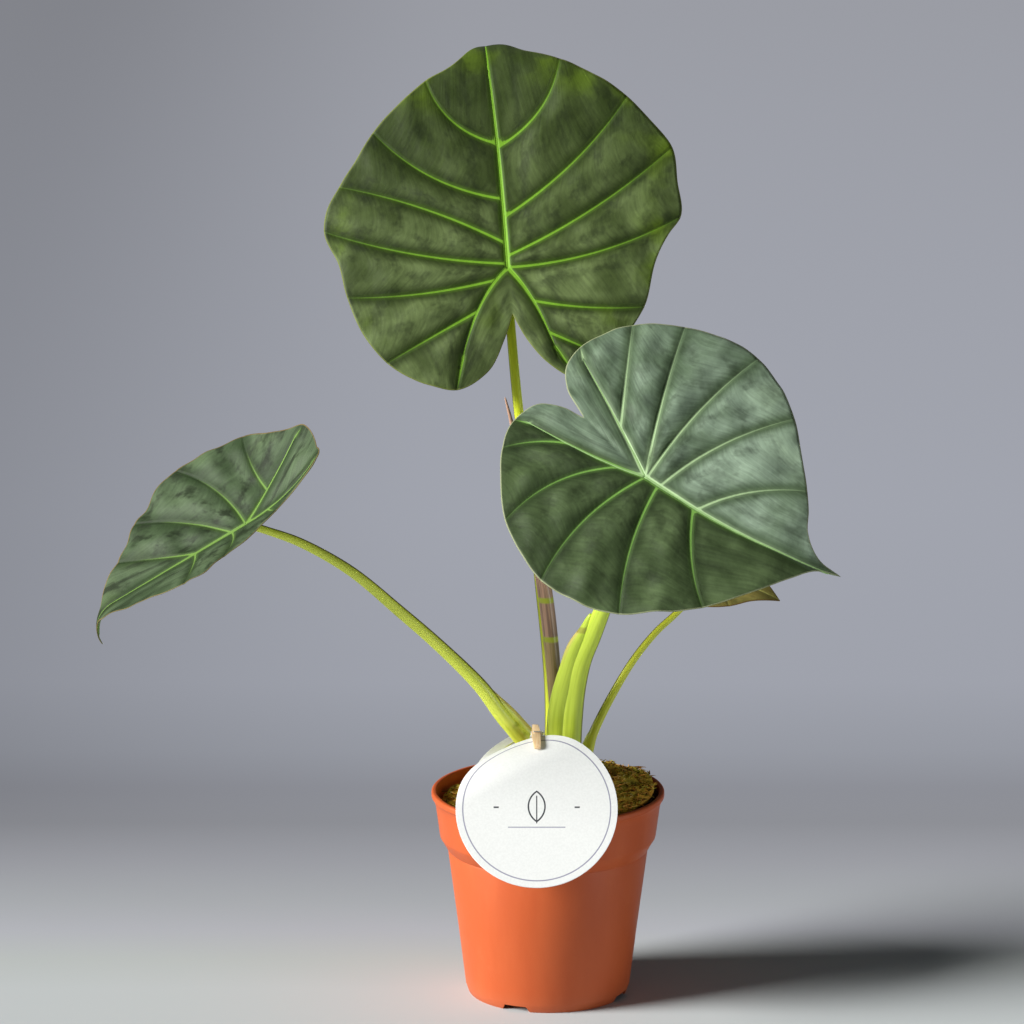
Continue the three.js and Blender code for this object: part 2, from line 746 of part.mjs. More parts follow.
// A blade: a thin plate of rows round its ribs, puffed up between the veins, which stand out
// below, joined to the midrib and to the rib of each lobe.
function blade(name, grow = 0) {
  const leaf = LEAVES[name];
  const right = rowsOf(leaf, "right");
  const left = rowsOf(leaf, "left").reverse();
  const ring = [...right, ...left.slice(1, -1)];
  const half = BLADE_THICKNESS / 2 + grow;
  const points = [];
  const faces = [];
  for (const { rib, edge, arch, phase, vein } of ring) {
    const reach = Math.hypot(edge[0] - rib[0], edge[1] - rib[1]);
    const way = [(edge[0] - rib[0]) / reach, (edge[1] - rib[1]) / reach];
    for (const f of ACROSS) {
      const d = GAP + (reach - GAP) * f;
      const bow = 4 * arch * f * (1 - f);
      const x = rib[0] + way[0] * d + way[1] * bow;
      const y = rib[1] + way[1] * d - way[0] * bow;
      const swell = leaf.puff * Math.min(1, reach / 60) * Math.sin(Math.PI * phase);
      const lift = swell * (3.2 * f * (1 - f) + 0.35 * f * f);
      const ridge = vein ? RIB_RELIEF * (1 - 0.85 * f) : 0;
      points.push(laid(leaf, x, y, lift + half).toArray());
      points.push(laid(leaf, x, y, lift - half - ridge).toArray());
    }
  }
  const columns = ACROSS.length;
  const at = (row, column, side) => ((row % ring.length) * columns + column) * 2 + side;
  for (let row = 0; row < ring.length; row++) {
    for (let column = 0; column < columns - 1; column++) {
      const [a, b] = [at(row, column, 0), at(row, column + 1, 0)];
      const [d, c] = [at(row + 1, column, 0), at(row + 1, column + 1, 0)];
      faces.push([a, c, b], [a, d, c], [a + 1, b + 1, c + 1], [a + 1, c + 1, d + 1]);
    }
    const [inner, innerNext] = [at(row, 0, 0), at(row + 1, 0, 0)];
    const [outer, outerNext] = [at(row, columns - 1, 0), at(row + 1, columns - 1, 0)];
    faces.push([inner, inner + 1, innerNext + 1], [inner, innerNext + 1, innerNext]);
    faces.push([outer, outerNext + 1, outer + 1], [outer, outerNext, outerNext + 1]);
  }
  const plate = solidOf(geometryOf(points, faces));
  const [thick, thin] = leaf.ribRadius;
  const rib = (route, steps) => swept(route, { steps, sides: 6, grow, depthwards: v3(...leaf.facing) });
  const ribRoute = (count, pointAt, from, to) =>
    Array.from({ length: count + 1 }, (_, i) => {
      const radius = from + ((to - from) * i) / count;
      const [x, y] = pointAt(i / count);
      return [...laid(leaf, x, y, RIB_CREST - radius * 0.9).toArray(), radius, radius * 0.9];
    });
  const end = leaf.length - 5;
  const midrib = rib(ribRoute(20, (t) => upMidrib(leaf, -2 + (end + 2) * t), thick, thin), 20);
  const lobeRib = (side) => {
    const [, [ex, ey]] = leaf.lobeRibs[side];
    const past = 1 + 1.2 / Math.hypot(ex, ey);
    const route = ribRoute(8, (t) => alongLobe(leaf, side, t).map((c) => c * past), thick * 0.75, thin * 1.3);
    return rib(route, 8);
  };
  return largest(plate.add(midrib).add(lobeRib("right")).add(lobeRib("left")));
}

// A point of the tag: `u` to the right of its middle, `s` up from its foot, `out` in front.
function tagPoint(u, s, out) {
  const bendFrom = TAG_BEND_FROM + TAG_BEND_SKEW * u;
  const straight = Math.min(s, bendFrom);
  const turn = Math.max(0, s - bendFrom) / TAG_BEND_RADIUS;
  const y = TAG_FOOT[0] + straight * Math.sin(TAG_LEAN);
  const z = TAG_FOOT[1] + straight * Math.cos(TAG_LEAN);
  const lean = TAG_LEAN + turn;
  return [
    TAG_X + u,
    y + TAG_BEND_RADIUS * (Math.cos(TAG_LEAN) - Math.cos(lean)) - out * Math.cos(lean),
    z + TAG_BEND_RADIUS * (Math.sin(lean) - Math.sin(TAG_LEAN)) + out * Math.sin(lean),
  ];
}

// The tag's card: a round sheet that leans on the pot's rim, its top bent back to the stalks.
function tagCard(grow = 0) {
  const half = TAG_THICKNESS / 2 + grow;
  return roundSheet([12, 24, 33, TAG_RADIUS + grow], TAG_SEGMENTS, (x, y, side) =>
    tagPoint(x, TAG_RADIUS + y, side ? -half : half),
  );
}

// The strap: a narrow strip of the same card that holds the tag to the stalks, round their
// backs from the tag's upper left edge to its right.
function tagStrap() {
  const route = [
    [-36, -41.6, 128.8],
    [-33, -34.4, 131.2],
    [-29.4, -27, 133.6],
    [-22.6, -12, 135],
    [-12, 4, 135.8],
    [3, 11, 134],
    [17, 7, 127],
    [25.6, -8, 122],
    [27.6, -28, 119.4],
    [26, -52, 119.4],
  ].map((point) => [...point, TAG_THICKNESS / 2, STRAP_WIDTH / 2]);
  const strip = swept(route, { steps: 24, sides: 4, square: true, depthwards: v3(-0.85, 0.5, 0.07) });
  return largest(strip.subtract(tagCard(GAP)));
}

// The peg's frame: `a` along it from its jaws, `across` it, and `out` in front of the card.
function pegPlaced(geometry) {
  const along = v3(0, Math.sin(PEG_LEAN), Math.cos(PEG_LEAN));
  const out = v3(0, -Math.cos(PEG_LEAN), Math.sin(PEG_LEAN));
  const middle = v3(...tagPoint(0, 2 * TAG_RADIUS - PEG_GRIP / 2, 0));
  const jaws = middle.addScaledVector(along, -PEG_GRIP / 2);
  const frame = new THREE.Matrix4().makeBasis(along, out, v3(1, 0, 0));
  frame.setPosition(jaws);
  geometry.applyMatrix4(frame);
  return geometry;
}

// One wooden half of the peg: flat where it grips, sloped away behind the spring.
function pegHalf(front) {
  const side = front ? 1 : -1;
  const inner = TAG_THICKNESS / 2 + GAP + (front ? 0.1 : 1.2);
  const shape = new THREE.Shape();
  const outline = [
    [0, 0.6],
    [0.6, 0],
    [SPRING_AT, 0],
    [PEG_LENGTH, 1.3],
    [PEG_LENGTH, 3],
    [14, 2.7],
    [3, 2.4],
    [0.8, 2],
    [0, 1.4],
  ];
  outline.forEach(([a, h], i) => shape[i ? "lineTo" : "moveTo"](a, side * (inner + h)));
  shape.closePath();
  const body = new THREE.ExtrudeGeometry(shape, { depth: PEG_WIDTH, bevelEnabled: false });
  body.translate(0, 0, -PEG_WIDTH / 2);
  return solidOf(pegPlaced(body));
}

// The peg's spring: a coil across the peg between its halves, and an arm over each half.
function pegSpring(grow = 0) {
  const radius = SPRING_RADIUS + grow;
  const coil = new THREE.CylinderGeometry(radius, radius, PEG_WIDTH + 1.4, 12);
  coil.rotateX(Math.PI / 2);
  coil.translate(SPRING_AT, 0, 0);
  let spring = solidOf(pegPlaced(coil));
  for (const side of [1, -1]) {
    const z = (side * (PEG_WIDTH + 1)) / 2;
    const lift = side * (TAG_THICKNESS / 2 + 3.7 + WIRE_RADIUS);
    const wire = (from, to) => {
      const line = new THREE.LineCurve3(from, to);
      const section = new THREE.Shape().absarc(0, 0, WIRE_RADIUS + grow, 0, 2 * Math.PI);
      const options = { extrudePath: line, steps: 1, curveSegments: 4, bevelEnabled: false };
      return solidOf(pegPlaced(new THREE.ExtrudeGeometry(section, options)));
    };
    const bend = v3(SPRING_AT - 2.1, lift, z + side * 0.2);
    spring = spring.add(wire(v3(SPRING_AT - 0.5, 0, z), v3(SPRING_AT - 2.2, lift, z)));
    spring = spring.add(wire(bend, v3(SPRING_AT - 2.1, lift, -z * 0.6)));
  }
  return spring;
}

const blades = {};
const grownBlades = {};
for (const name of Object.keys(LEAVES)) {
  blades[name] = blade(name);
  grownBlades[name] = blade(name, GAP);
}

// The stalks nest at the crown: each one is shaped by those before it.
const stalks = {};
const taken = [corm(GAP)];
const nest = (solid, grown) => {
  const shaped = largest(taken.reduce((body, other) => body.subtract(other), solid));
  taken.push(grown);
  return shaped;
};
for (const name of ["right", "left", "top", "small"]) {
  stalks[name] = largest(nest(stalk(name), stalk(name, GAP)).subtract(grownBlades[name]));
}
const spear = nest(
  swept(SPEAR, { steps: 16, sides: 10 }),
  swept(SPEAR, { steps: 16, sides: 10, grow: GAP }),
);

const clearOfStems = (solid) => largest(taken.reduce((body, other) => body.subtract(other), solid));

const LEAF_GREEN = 0x2f4a2c;
const GREY_GREEN = 0x4a6650;
const STALK_GREEN = 0x9fbf30;
const PEG_WOOD = 0xe2b877;

const plant = new THREE.Group();
plant.add(
  finish("pot", pot(), 0xc8622f, 0.55),
  finish("soil", clearOfStems(soil()), 0x2c1d14, 0.95),
  finish("moss", clearOfStems(moss()), 0x6a6524, 0.95),
  finish("corm", corm(), 0x6b4a30, 0.85),
  finish("stalk_top", stalks.top, STALK_GREEN, 0.45),
  finish("stalk_right", stalks.right, STALK_GREEN, 0.45),
  finish("stalk_left", stalks.left, STALK_GREEN, 0.45),
  finish("stalk_small", stalks.small, STALK_GREEN, 0.45),
  finish("blade_top", blades.top, LEAF_GREEN, 0.5),
  finish("blade_right", blades.right, GREY_GREEN, 0.5),
  finish("blade_left", blades.left, GREY_GREEN, 0.5),
  finish("blade_small", blades.small, 0x7d7a3c, 0.6),
  finish("new_leaf", spear, 0x6e4f3a, 0.5),
);

const peg = [pegHalf(true), pegHalf(false)].map((half) => half.subtract(pegSpring(GAP)));
plant.add(
  finish("tag_card", tagCard(), 0xf4f5f2, 0.6),
  finish("tag_strap", clearOfStems(tagStrap()), 0xf4f5f2, 0.6),
  finish("peg_front", largest(peg[0]), PEG_WOOD, 0.7),
  finish("peg_back", largest(peg[1]), PEG_WOOD, 0.7),
  finish("peg_spring", pegSpring(), 0xb9bcc0, 0.35, 1),
);

export default plant;
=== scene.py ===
# A potted alocasia with a round card tag, standing on a pale studio floor.
# Metres, +Z up, the origin at the middle of the pot's foot, the tag towards -Y.
import math
import random

import bmesh
import bpy
import numpy as np
from mathutils import Matrix, Vector, noise


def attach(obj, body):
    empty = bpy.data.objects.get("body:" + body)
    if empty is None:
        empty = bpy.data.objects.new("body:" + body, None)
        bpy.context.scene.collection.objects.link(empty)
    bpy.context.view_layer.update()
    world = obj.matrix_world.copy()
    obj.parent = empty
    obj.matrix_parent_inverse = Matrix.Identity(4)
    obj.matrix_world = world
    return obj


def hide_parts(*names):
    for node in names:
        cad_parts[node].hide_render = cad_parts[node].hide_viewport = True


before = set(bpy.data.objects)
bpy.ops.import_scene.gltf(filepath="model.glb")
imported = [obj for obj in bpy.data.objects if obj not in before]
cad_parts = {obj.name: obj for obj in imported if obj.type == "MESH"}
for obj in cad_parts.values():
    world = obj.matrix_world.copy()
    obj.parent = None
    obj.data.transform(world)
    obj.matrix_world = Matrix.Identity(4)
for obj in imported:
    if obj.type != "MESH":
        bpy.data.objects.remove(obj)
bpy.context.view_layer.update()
scene = bpy.context.scene
scene.view_settings.view_transform = "Standard"

# ---------------------------------------------------------------------------------------------
# The camera: a long lens at a table's height above the floor, looking a little down on the pot.
camera = bpy.data.objects.new("camera", bpy.data.cameras.new("camera"))
camera.location = (-0.0185, -3.07138, 1.00573)
camera.rotation_euler = (math.radians(76.257), 0, 0)
camera.data.lens = 218.2
camera.data.sensor_width = 36
scene.collection.objects.link(camera)
scene.camera = camera

# ---------------------------------------------------------------------------------------------
# The studio: one sheet of pale paper, lit by the lamps near the pot and from 0.14 m back a
# painted glow that runs into grey, with painted shade in a band and towards the left; a broad
# soft lamp high at the left, a small weak one low at the right, and the faint grey of the room.


def paint(red, green, blue):
    """A colour read off a picture (0 to 255), as Blender counts light."""
    shares = [c / 255 for c in (red, green, blue)]
    return (*(c / 12.92 if c <= 0.04045 else ((c + 0.055) / 1.055) ** 2.4 for c in shares), 1)


def add(tree, kind, inputs=None, **settings):
    """One node, with its settings, and its inputs by name or number: a socket is linked."""
    node = tree.nodes.new(kind)
    for name, value in settings.items():
        setattr(node, name, value)
    for name, value in (inputs or {}).items():
        if isinstance(value, bpy.types.NodeSocket):
            tree.links.new(value, node.inputs[name])
        else:
            node.inputs[name].default_value = value
    return node


def calc(tree, operation, *values, clamp=False):
    inputs = dict(enumerate(values))
    return add(tree, "ShaderNodeMath", inputs, operation=operation, use_clamp=clamp).outputs[0]


def plus(tree, first, second):
    return calc(tree, "ADD", first, second)


def minus(tree, first, second, clamp=False):
    return calc(tree, "SUBTRACT", first, second, clamp=clamp)


def times(tree, first, second, clamp=False):
    return calc(tree, "MULTIPLY", first, second, clamp=clamp)


def ease(tree, value, start, end, low=0.0, high=1.0):
    """A smooth step of a value: low at start, high at end."""
    inputs = {"Value": value, 1: start, 2: end, 3: low, 4: high}
    node = add(tree, "ShaderNodeMapRange", inputs, interpolation_type="SMOOTHSTEP")
    return node.outputs["Result"]


def blend(tree, share, first, second, way="MIX"):
    inputs = {0: share, 6: first, 7: second}
    node = add(tree, "ShaderNodeMix", inputs, data_type="RGBA", blend_type=way, clamp_factor=True)
    return node.outputs[2]


def tones(tree, value, stops):
    """A colour that follows a value from 0 to 1 through (value, red, green, blue) stops."""
    node = add(tree, "ShaderNodeValToRGB", {"Fac": value})
    ramp = node.color_ramp
    for position, *_ in stops[2:]:
        ramp.elements.new(position)
    for element, (position, *colour) in zip(ramp.elements, stops):
        element.position = position
        element.color = paint(*colour)
    return node.outputs["Color"]


def where(tree):
    """The place on the object, in metres, as a vector and as X, Y and Z."""
    vector = add(tree, "ShaderNodeTexCoord").outputs["Object"]
    parts = add(tree, "ShaderNodeSeparateXYZ", {0: vector}).outputs
    return vector, parts[0], parts[1], parts[2]


def surface(name, **fixed):
    """A material with a Principled shader, and the values that are the same all over it."""
    material = bpy.data.materials.new(name)
    material.use_nodes = True
    tree = material.node_tree
    shader = tree.nodes["Principled BSDF"]
    for socket, value in fixed.items():
        shader.inputs[socket.replace("_", " ")].default_value = value
    return material, tree, shader


def feed(tree, shader, **results):
    """Give a shader what changes over the surface."""
    for socket, value in results.items():
        tree.links.new(value, shader.inputs[socket.replace("_", " ")])


def mesh_of(name, bm):
    mesh = bpy.data.meshes.new(name)
    bm.to_mesh(mesh)
    bm.free()
    return mesh


def shown(name, data):
    holder = bpy.data.objects.new(name, data)
    scene.collection.objects.link(holder)
    return holder


FLOOR_FRONT, FLOOR_BACK, FLOOR_HALF_WIDTH = -1.5, 9.0, 6
# How the paper's tone changes from the pot backwards: metres behind it, then the colour. From
# 0.14 m back it is the colour of a painted glow, which dips darker as painted shade about 0.3 m
# back.
PAPER_AND_PAINTED_GLOW = [
    (0.00, 197, 203, 205), (0.05, 190, 196, 196), (0.10, 183, 186, 194), (0.155, 171, 175, 181),
    (0.23, 157, 159, 167), (0.30, 142, 144, 151), (0.37, 140, 142, 150), (0.45, 149, 152, 161),
    (0.60, 158, 161, 171), (1.05, 160, 163, 173), (3.20, 153, 155, 163),
]
bm = bmesh.new()
bmesh.ops.create_grid(bm, x_segments=8, y_segments=8, size=1)
bmesh.ops.scale(bm, verts=bm.verts, vec=(FLOOR_HALF_WIDTH, (FLOOR_BACK - FLOOR_FRONT) / 2, 1))
bmesh.ops.translate(bm, verts=bm.verts, vec=(0, (FLOOR_FRONT + FLOOR_BACK) / 2, 0))
floor = shown("floor", mesh_of("floor", bm))

material, tree, shader = surface(
    "studio_paper_painted_glow", Roughness=0.9, Specular_IOR_Level=0.1, Emission_Strength=1
)
_, across, depth, _ = where(tree)
reach = PAPER_AND_PAINTED_GLOW[-1][0]
stops = [(y / reach, *rgb) for y, *rgb in PAPER_AND_PAINTED_GLOW]
tone = tones(tree, calc(tree, "DIVIDE", depth, reach, clamp=True), stops)
# Painted glow: the lamps light the paper near the pot; further back it glows with its tone,
# darker towards the left as painted shade.
lit = ease(tree, depth, 0.14, 0.42, 1, 0)
left = ease(tree, across, -0.50, -0.02, 0.68, 1)
painted_glow = times(tree, minus(tree, 1, lit), left)
black = (0, 0, 0, 1)
feed(
    tree,
    shader,
    Base_Color=blend(tree, lit, black, tone),
    Emission_Color=blend(tree, painted_glow, black, tone),
)
floor.data.materials.append(material)

AIM = (0, 0, 0.15)


def lamp(name, kind, colour, energy, at, **settings):
    light = bpy.data.lights.new(name, kind)
    light.energy = energy
    light.color = colour
    for setting, value in settings.items():
        setattr(light, setting, value)
    holder = shown(name, light)
    holder.location = at
    holder.rotation_euler = (Vector(AIM) - Vector(at)).to_track_quat("-Z", "Y").to_euler()


KEY_FROM = (-1.93, -0.55)
KEY_RISE = math.radians(23)
level = math.cos(KEY_RISE)
key_at = (KEY_FROM[0] * level, KEY_FROM[1] * level, AIM[2] + 2 * math.sin(KEY_RISE))
lamp("key", "SUN", (1, 0.985, 0.955), 7.2, key_at, angle=math.radians(27))
lamp("fill", "AREA", (0.97, 0.985, 1), 12, (2.2, -1.3, 0.16), shape="SQUARE", size=0.3)

world = bpy.data.worlds.new("room")
world.use_nodes = True
scene.world = world
tree = world.node_tree
seen = add(tree, "ShaderNodeLightPath").outputs["Is Camera Ray"]
room = blend(tree, seen, (0.05, 0.053, 0.059, 1), paint(156, 159, 168))
feed(tree, tree.nodes["Background"], Color=room)

# ---------------------------------------------------------------------------------------------
# The pot: a 12 cm nursery pot, moulded in one shot of terracotta-coloured polypropylene. Its
# wide rim band ends in a rolled lip; its foot ring has four notches that let water run off.
MM = 0.001
POT_HEIGHT = 107.6
RIM_RADIUS = 60
LIP_RADIUS = 1.2
BAND_TOP = (57.8, 100)
BAND_FOOT = (55.6, 83.2)
NECK = (51.6, 77)
FOOT_RADIUS = 41
FLOOR = (42.2, 4)
WALL = 1.6
NOTCHES, NOTCH_TURN, NOTCH_HEIGHT = 4, -24, 3
NOTCH_FOOT_HALF, NOTCH_TOP_HALF = 8.6, 6
DRAINS, DRAIN_RING, DRAIN_RADIUS = 6, 24, 4


def made(name, bm, material, node, sharp=None):
    """A finished piece in the place of its solid, smooth but for edges over `sharp` degrees."""
    mesh = mesh_of(name, bm)
    mesh.shade_smooth()
    if sharp:
        mesh.set_sharp_from_angle(angle=math.radians(sharp))
    mesh.materials.append(material)
    piece = shown(name, mesh)
    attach(piece, "root")
    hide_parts(node)


def mottle(tree, at, scale, detail, **more):
    """A cloudy value about 0.5, over so many waves to the unit."""
    inputs = {"Vector": at, "Scale": scale, "Detail": detail, **more}
    return add(tree, "ShaderNodeTexNoise", inputs).outputs[0]


def relief(tree, height, strength, depth):
    """Fine relief of a value, up to `depth` metres."""
    inputs = {"Strength": strength, "Distance": depth, "Height": height}
    return add(tree, "ShaderNodeBump", inputs).outputs[0]


def arc(cx, cz, radius, start, end, count):
    angles = [math.radians(start + (end - start) * i / count) for i in range(count + 1)]
    return [(cx + radius * math.cos(a), cz + radius * math.sin(a)) for a in angles]


# The pot's section, [radius, height] from under the floor's middle, up outside and down inside.
outline = [
    (0, FLOOR[1]), (20, FLOOR[1]), (FLOOR[0] - WALL - 0.6, FLOOR[1]),
    (FLOOR[0] - WALL, FLOOR[1] - 0.5), (FOOT_RADIUS - WALL, 0.3), (FOOT_RADIUS - WALL + 0.3, 0),
    (FOOT_RADIUS - 0.4, 0), (FOOT_RADIUS, 0.4), (42.2, FLOOR[1] - 0.2), (42.45, FLOOR[1] + 0.5),
    (46.3, 36), (NECK[0] - 0.1, NECK[1] - 1.2), (NECK[0] - 0.35, NECK[1] - 0.3),
    (NECK[0] + 0.5, NECK[1] + 0.5), (BAND_FOOT[0] - 0.9, BAND_FOOT[1] - 1.0),
    (BAND_FOOT[0] - 0.15, BAND_FOOT[1]), (BAND_FOOT[0] + 0.15, BAND_FOOT[1] + 1.2),
    (BAND_TOP[0] - 0.1, BAND_TOP[1] - 1), (BAND_TOP[0] + 0.1, BAND_TOP[1] + 0.2),
    (RIM_RADIUS - 1.2, 103.2), (RIM_RADIUS - 0.9, 103.8),
    *arc(RIM_RADIUS - 1.0, 105.1, 1.0, -60, 0, 4),
    *arc(RIM_RADIUS - LIP_RADIUS, POT_HEIGHT - LIP_RADIUS, LIP_RADIUS, 0, 90, 5),
    *arc(RIM_RADIUS - 2.0, POT_HEIGHT - LIP_RADIUS / 2, LIP_RADIUS / 2, 90, 180, 4),
    (RIM_RADIUS - 2.9, 104.6), (BAND_TOP[0] - WALL, BAND_TOP[1]),
    (BAND_FOOT[0] - WALL, BAND_FOOT[1]), (NECK[0] - WALL, NECK[1]),
    (FLOOR[0] - WALL + 0.4, FLOOR[1] + WALL + 1), (FLOOR[0] - WALL - 0.6, FLOOR[1] + WALL),
    (20, FLOOR[1] + WALL), (0, FLOOR[1] + WALL),
]
bm = bmesh.new()
verts = [bm.verts.new((r * MM, 0, z * MM)) for r, z in outline]
edges = [bm.edges.new(pair) for pair in zip(verts, verts[1:])]
bmesh.ops.spin(
    bm,
    geom=verts + edges,
    cent=(0, 0, 0),
    axis=(0, 0, 1),
    angle=2 * math.pi,
    steps=144,
    use_merge=True,
)


def closed(bm, verts):
    bmesh.ops.remove_doubles(bm, verts=verts, dist=1e-6)
    bmesh.ops.recalc_face_normals(bm, faces=bm.faces)


closed(bm, bm.verts)
body = shown("pot_body", mesh_of("pot_body", bm))

# What the mould leaves open: the wedge-shaped notches and the drain holes.
bm = bmesh.new()
for k in range(NOTCHES):
    wedge = bmesh.ops.create_cube(bm, size=1)["verts"]
    for vert in wedge:
        upper = vert.co.z > 0
        half = NOTCH_TOP_HALF if upper else NOTCH_FOOT_HALF
        place = (vert.co.x * 2 * half, vert.co.y * 10 - 39, NOTCH_HEIGHT if upper else -2)
        vert.co = Vector(place) * MM
    turn = Matrix.Rotation(math.radians(NOTCH_TURN + 360 / NOTCHES * k), 3, "Z")
    bmesh.ops.rotate(bm, verts=wedge, cent=(0, 0, 0), matrix=turn)
for k in range(DRAINS):
    width = DRAIN_RADIUS * MM
    drain = bmesh.ops.create_cone(
        bm, cap_ends=True, segments=28, radius1=width, radius2=width, depth=8 * MM
    )["verts"]
    angle = k * 2 * math.pi / DRAINS
    place = Vector((DRAIN_RING * math.cos(angle), DRAIN_RING * math.sin(angle), 4.8)) * MM
    bmesh.ops.translate(bm, verts=drain, vec=place)
cutter = shown("pot_openings", mesh_of("pot_openings", bm))
cut = body.modifiers.new("openings", "BOOLEAN")
cut.operation = "DIFFERENCE"
cut.solver = "EXACT"
cut.object = cutter
bpy.context.view_layer.update()
bm = bmesh.new()
bm.from_mesh(body.evaluated_get(bpy.context.evaluated_depsgraph_get()).data)
for holder in (body, cutter):
    bpy.data.objects.remove(holder)

material, tree, shader = surface("pot_plastic", Specular_IOR_Level=0.3)
place, *_, z = where(tree)
rub = mottle(tree, place, 60, 5, Roughness=0.6)
speck = mottle(tree, place, 900, 2)
flow = add(tree, "ShaderNodeVectorMath", {0: place, 1: (2.5, 2.5, 0.4)}, operation="MULTIPLY")
swirl = ease(tree, mottle(tree, flow.outputs[0], 28, 3), 0.3, 0.7)
colour = blend(tree, swirl, paint(184, 84, 41), paint(190, 90, 46))
colour = blend(tree, ease(tree, rub, 0.58, 0.78, 0, 0.12), colour, paint(212, 126, 86))
colour = blend(tree, ease(tree, z, 0.012, 0.0, 0, 0.35), colour, paint(178, 100, 66))
rough = plus(tree, times(tree, rub, 0.2), 0.38)
bump = relief(tree, speck, 0.25, 0.0002)
feed(tree, shader, Base_Color=colour, Roughness=rough, Normal=bump)
made("pot_shell", bm, material, "pot", sharp=40)

# ---------------------------------------------------------------------------------------------
# The potting mix and the corm in it: dark peat with coarse bits, and a tuber in papery skin.
# Both are hidden by the moss and the pot, but for what shows through the drain holes.


def dress(node, material):
    """A node that keeps its own mesh, in a better material."""
    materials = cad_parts[node].data.materials
    materials.clear()
    materials.append(material)


material, tree, shader = surface("potting_mix", Roughness=0.95, Specular_IOR_Level=0.2)
place, *_ = where(tree)
crumb = add(tree, "ShaderNodeTexVoronoi", {"Vector": place, "Scale": 420}).outputs["Distance"]
peat = mottle(tree, place, 160, 6)
colour = tones(tree, peat, [(0.35, 30, 20, 14), (0.55, 58, 40, 27), (0.75, 92, 66, 44)])
feed(tree, shader, Base_Color=colour, Normal=relief(tree, crumb, 0.8, 0.0015))
dress("soil", material)

material, tree, shader = surface("corm_skin", Roughness=0.8, Specular_IOR_Level=0.3)
wave = {"Vector": where(tree)[0], "Scale": 120, "Distortion": 6, "Detail": 3}
rings = add(tree, "ShaderNodeTexWave", wave, bands_direction="Z").outputs["Fac"]
colour = tones(tree, rings, [(0.2, 70, 46, 30), (0.6, 112, 78, 52), (0.9, 150, 114, 80)])
feed(tree, shader, Base_Color=colour, Normal=relief(tree, rings, 0.6, 0.0008))
dress("corm", material)

# ---------------------------------------------------------------------------------------------
# The moss: a pad of dry sheet moss laid on the soil, heaped round the stalks. Below it is a
# matted sheet; on it lie thousands of short curled strands, green, straw and bark-brown.
MOSS_RADIUS = 55.2
SOIL_LEVEL, SOIL_TILT = 101.5, 0.06
MOUND_X, MOUND_Y, MOUND_SPREAD, MOUND_HEIGHT = 16, 2, 21, 13.5
MOSS_RISE = 3.7
STRANDS = 4200
STRAND_LENGTH, STRAND_FOOT, STRAND_TIP, STRAND_CURL = 3.8, 0.5, 0.12, 90


def sheet(bm, points, **values):
    """A grid of quads through points[row][column], joined where it meets itself. Each named
    value, one for each point, becomes an attribute of the mesh."""
    rows, columns = points.shape[:2]
    for name in values:
        if name not in bm.verts.layers.float:
            bm.verts.layers.float.new(name)
    layers = {name: bm.verts.layers.float[name] for name in values}
    grid = bmesh.ops.create_grid(bm, x_segments=columns - 1, y_segments=rows - 1, size=1)
    for vert in grid["verts"]:
        column = round((vert.co.x + 1) / 2 * (columns - 1))
        row = round((vert.co.y + 1) / 2 * (rows - 1))
        vert.co = points[row, column] * MM
        for name, layer in layers.items():
            vert[layer] = values[name][row, column]
    return grid["verts"]


def value_of(tree, name):
    """A value that the mesh carries at each point."""
    return add(tree, "ShaderNodeAttribute", attribute_name=name).outputs["Fac"]


def soil_top(x, y):
    reach = ((x - MOUND_X) ** 2 + (y - MOUND_Y) ** 2) / (2 * MOUND_SPREAD**2)
    rough = 0.7 * np.sin(x * 0.31 + 1.3) * np.cos(y * 0.27 - 0.6)
    return SOIL_LEVEL + SOIL_TILT * x + MOUND_HEIGHT * np.exp(-reach) + rough


def moss_top(x, y):
    cushion = np.sin(x * 0.42 + 2 * np.sin(y * 0.19)) * np.sin(y * 0.47 + x * 0.11)
    return soil_top(x, y) + MOSS_RISE + 1.5 * cushion


def full_turn(steps):
    """Angles once round, the last one the same as the first."""
    turns = np.linspace(0, 2 * math.pi, steps + 1)
    turns[-1] = 0
    return turns


rng = random.Random(7)
r, turn = np.meshgrid(np.linspace(0, 1, 60) ** 0.8, full_turn(180), indexing="ij")
edge = MOSS_RADIUS - 0.5
x, y = r * edge * np.cos(turn), r * edge * np.sin(turn)
grain = np.sin(x * 2.1 + 3 * np.sin(y * 0.9)) * np.sin(y * 1.9 + 2 * np.sin(x * 1.1))
fall = np.clip((r - 0.93) / 0.07, 0, 1) ** 2
top = moss_top(x, y) + 0.5 * grain - 1.5 * fall
over = np.stack([x, y, top], axis=2)
under = np.stack([x, y, np.minimum(soil_top(x, y) + 0.5, top - 0.6)], axis=2)
bm = bmesh.new()
both_sides = np.concatenate([over, under[::-1]])
closed(bm, sheet(bm, both_sides, tint=np.full(both_sides.shape[:2], 0.4)))

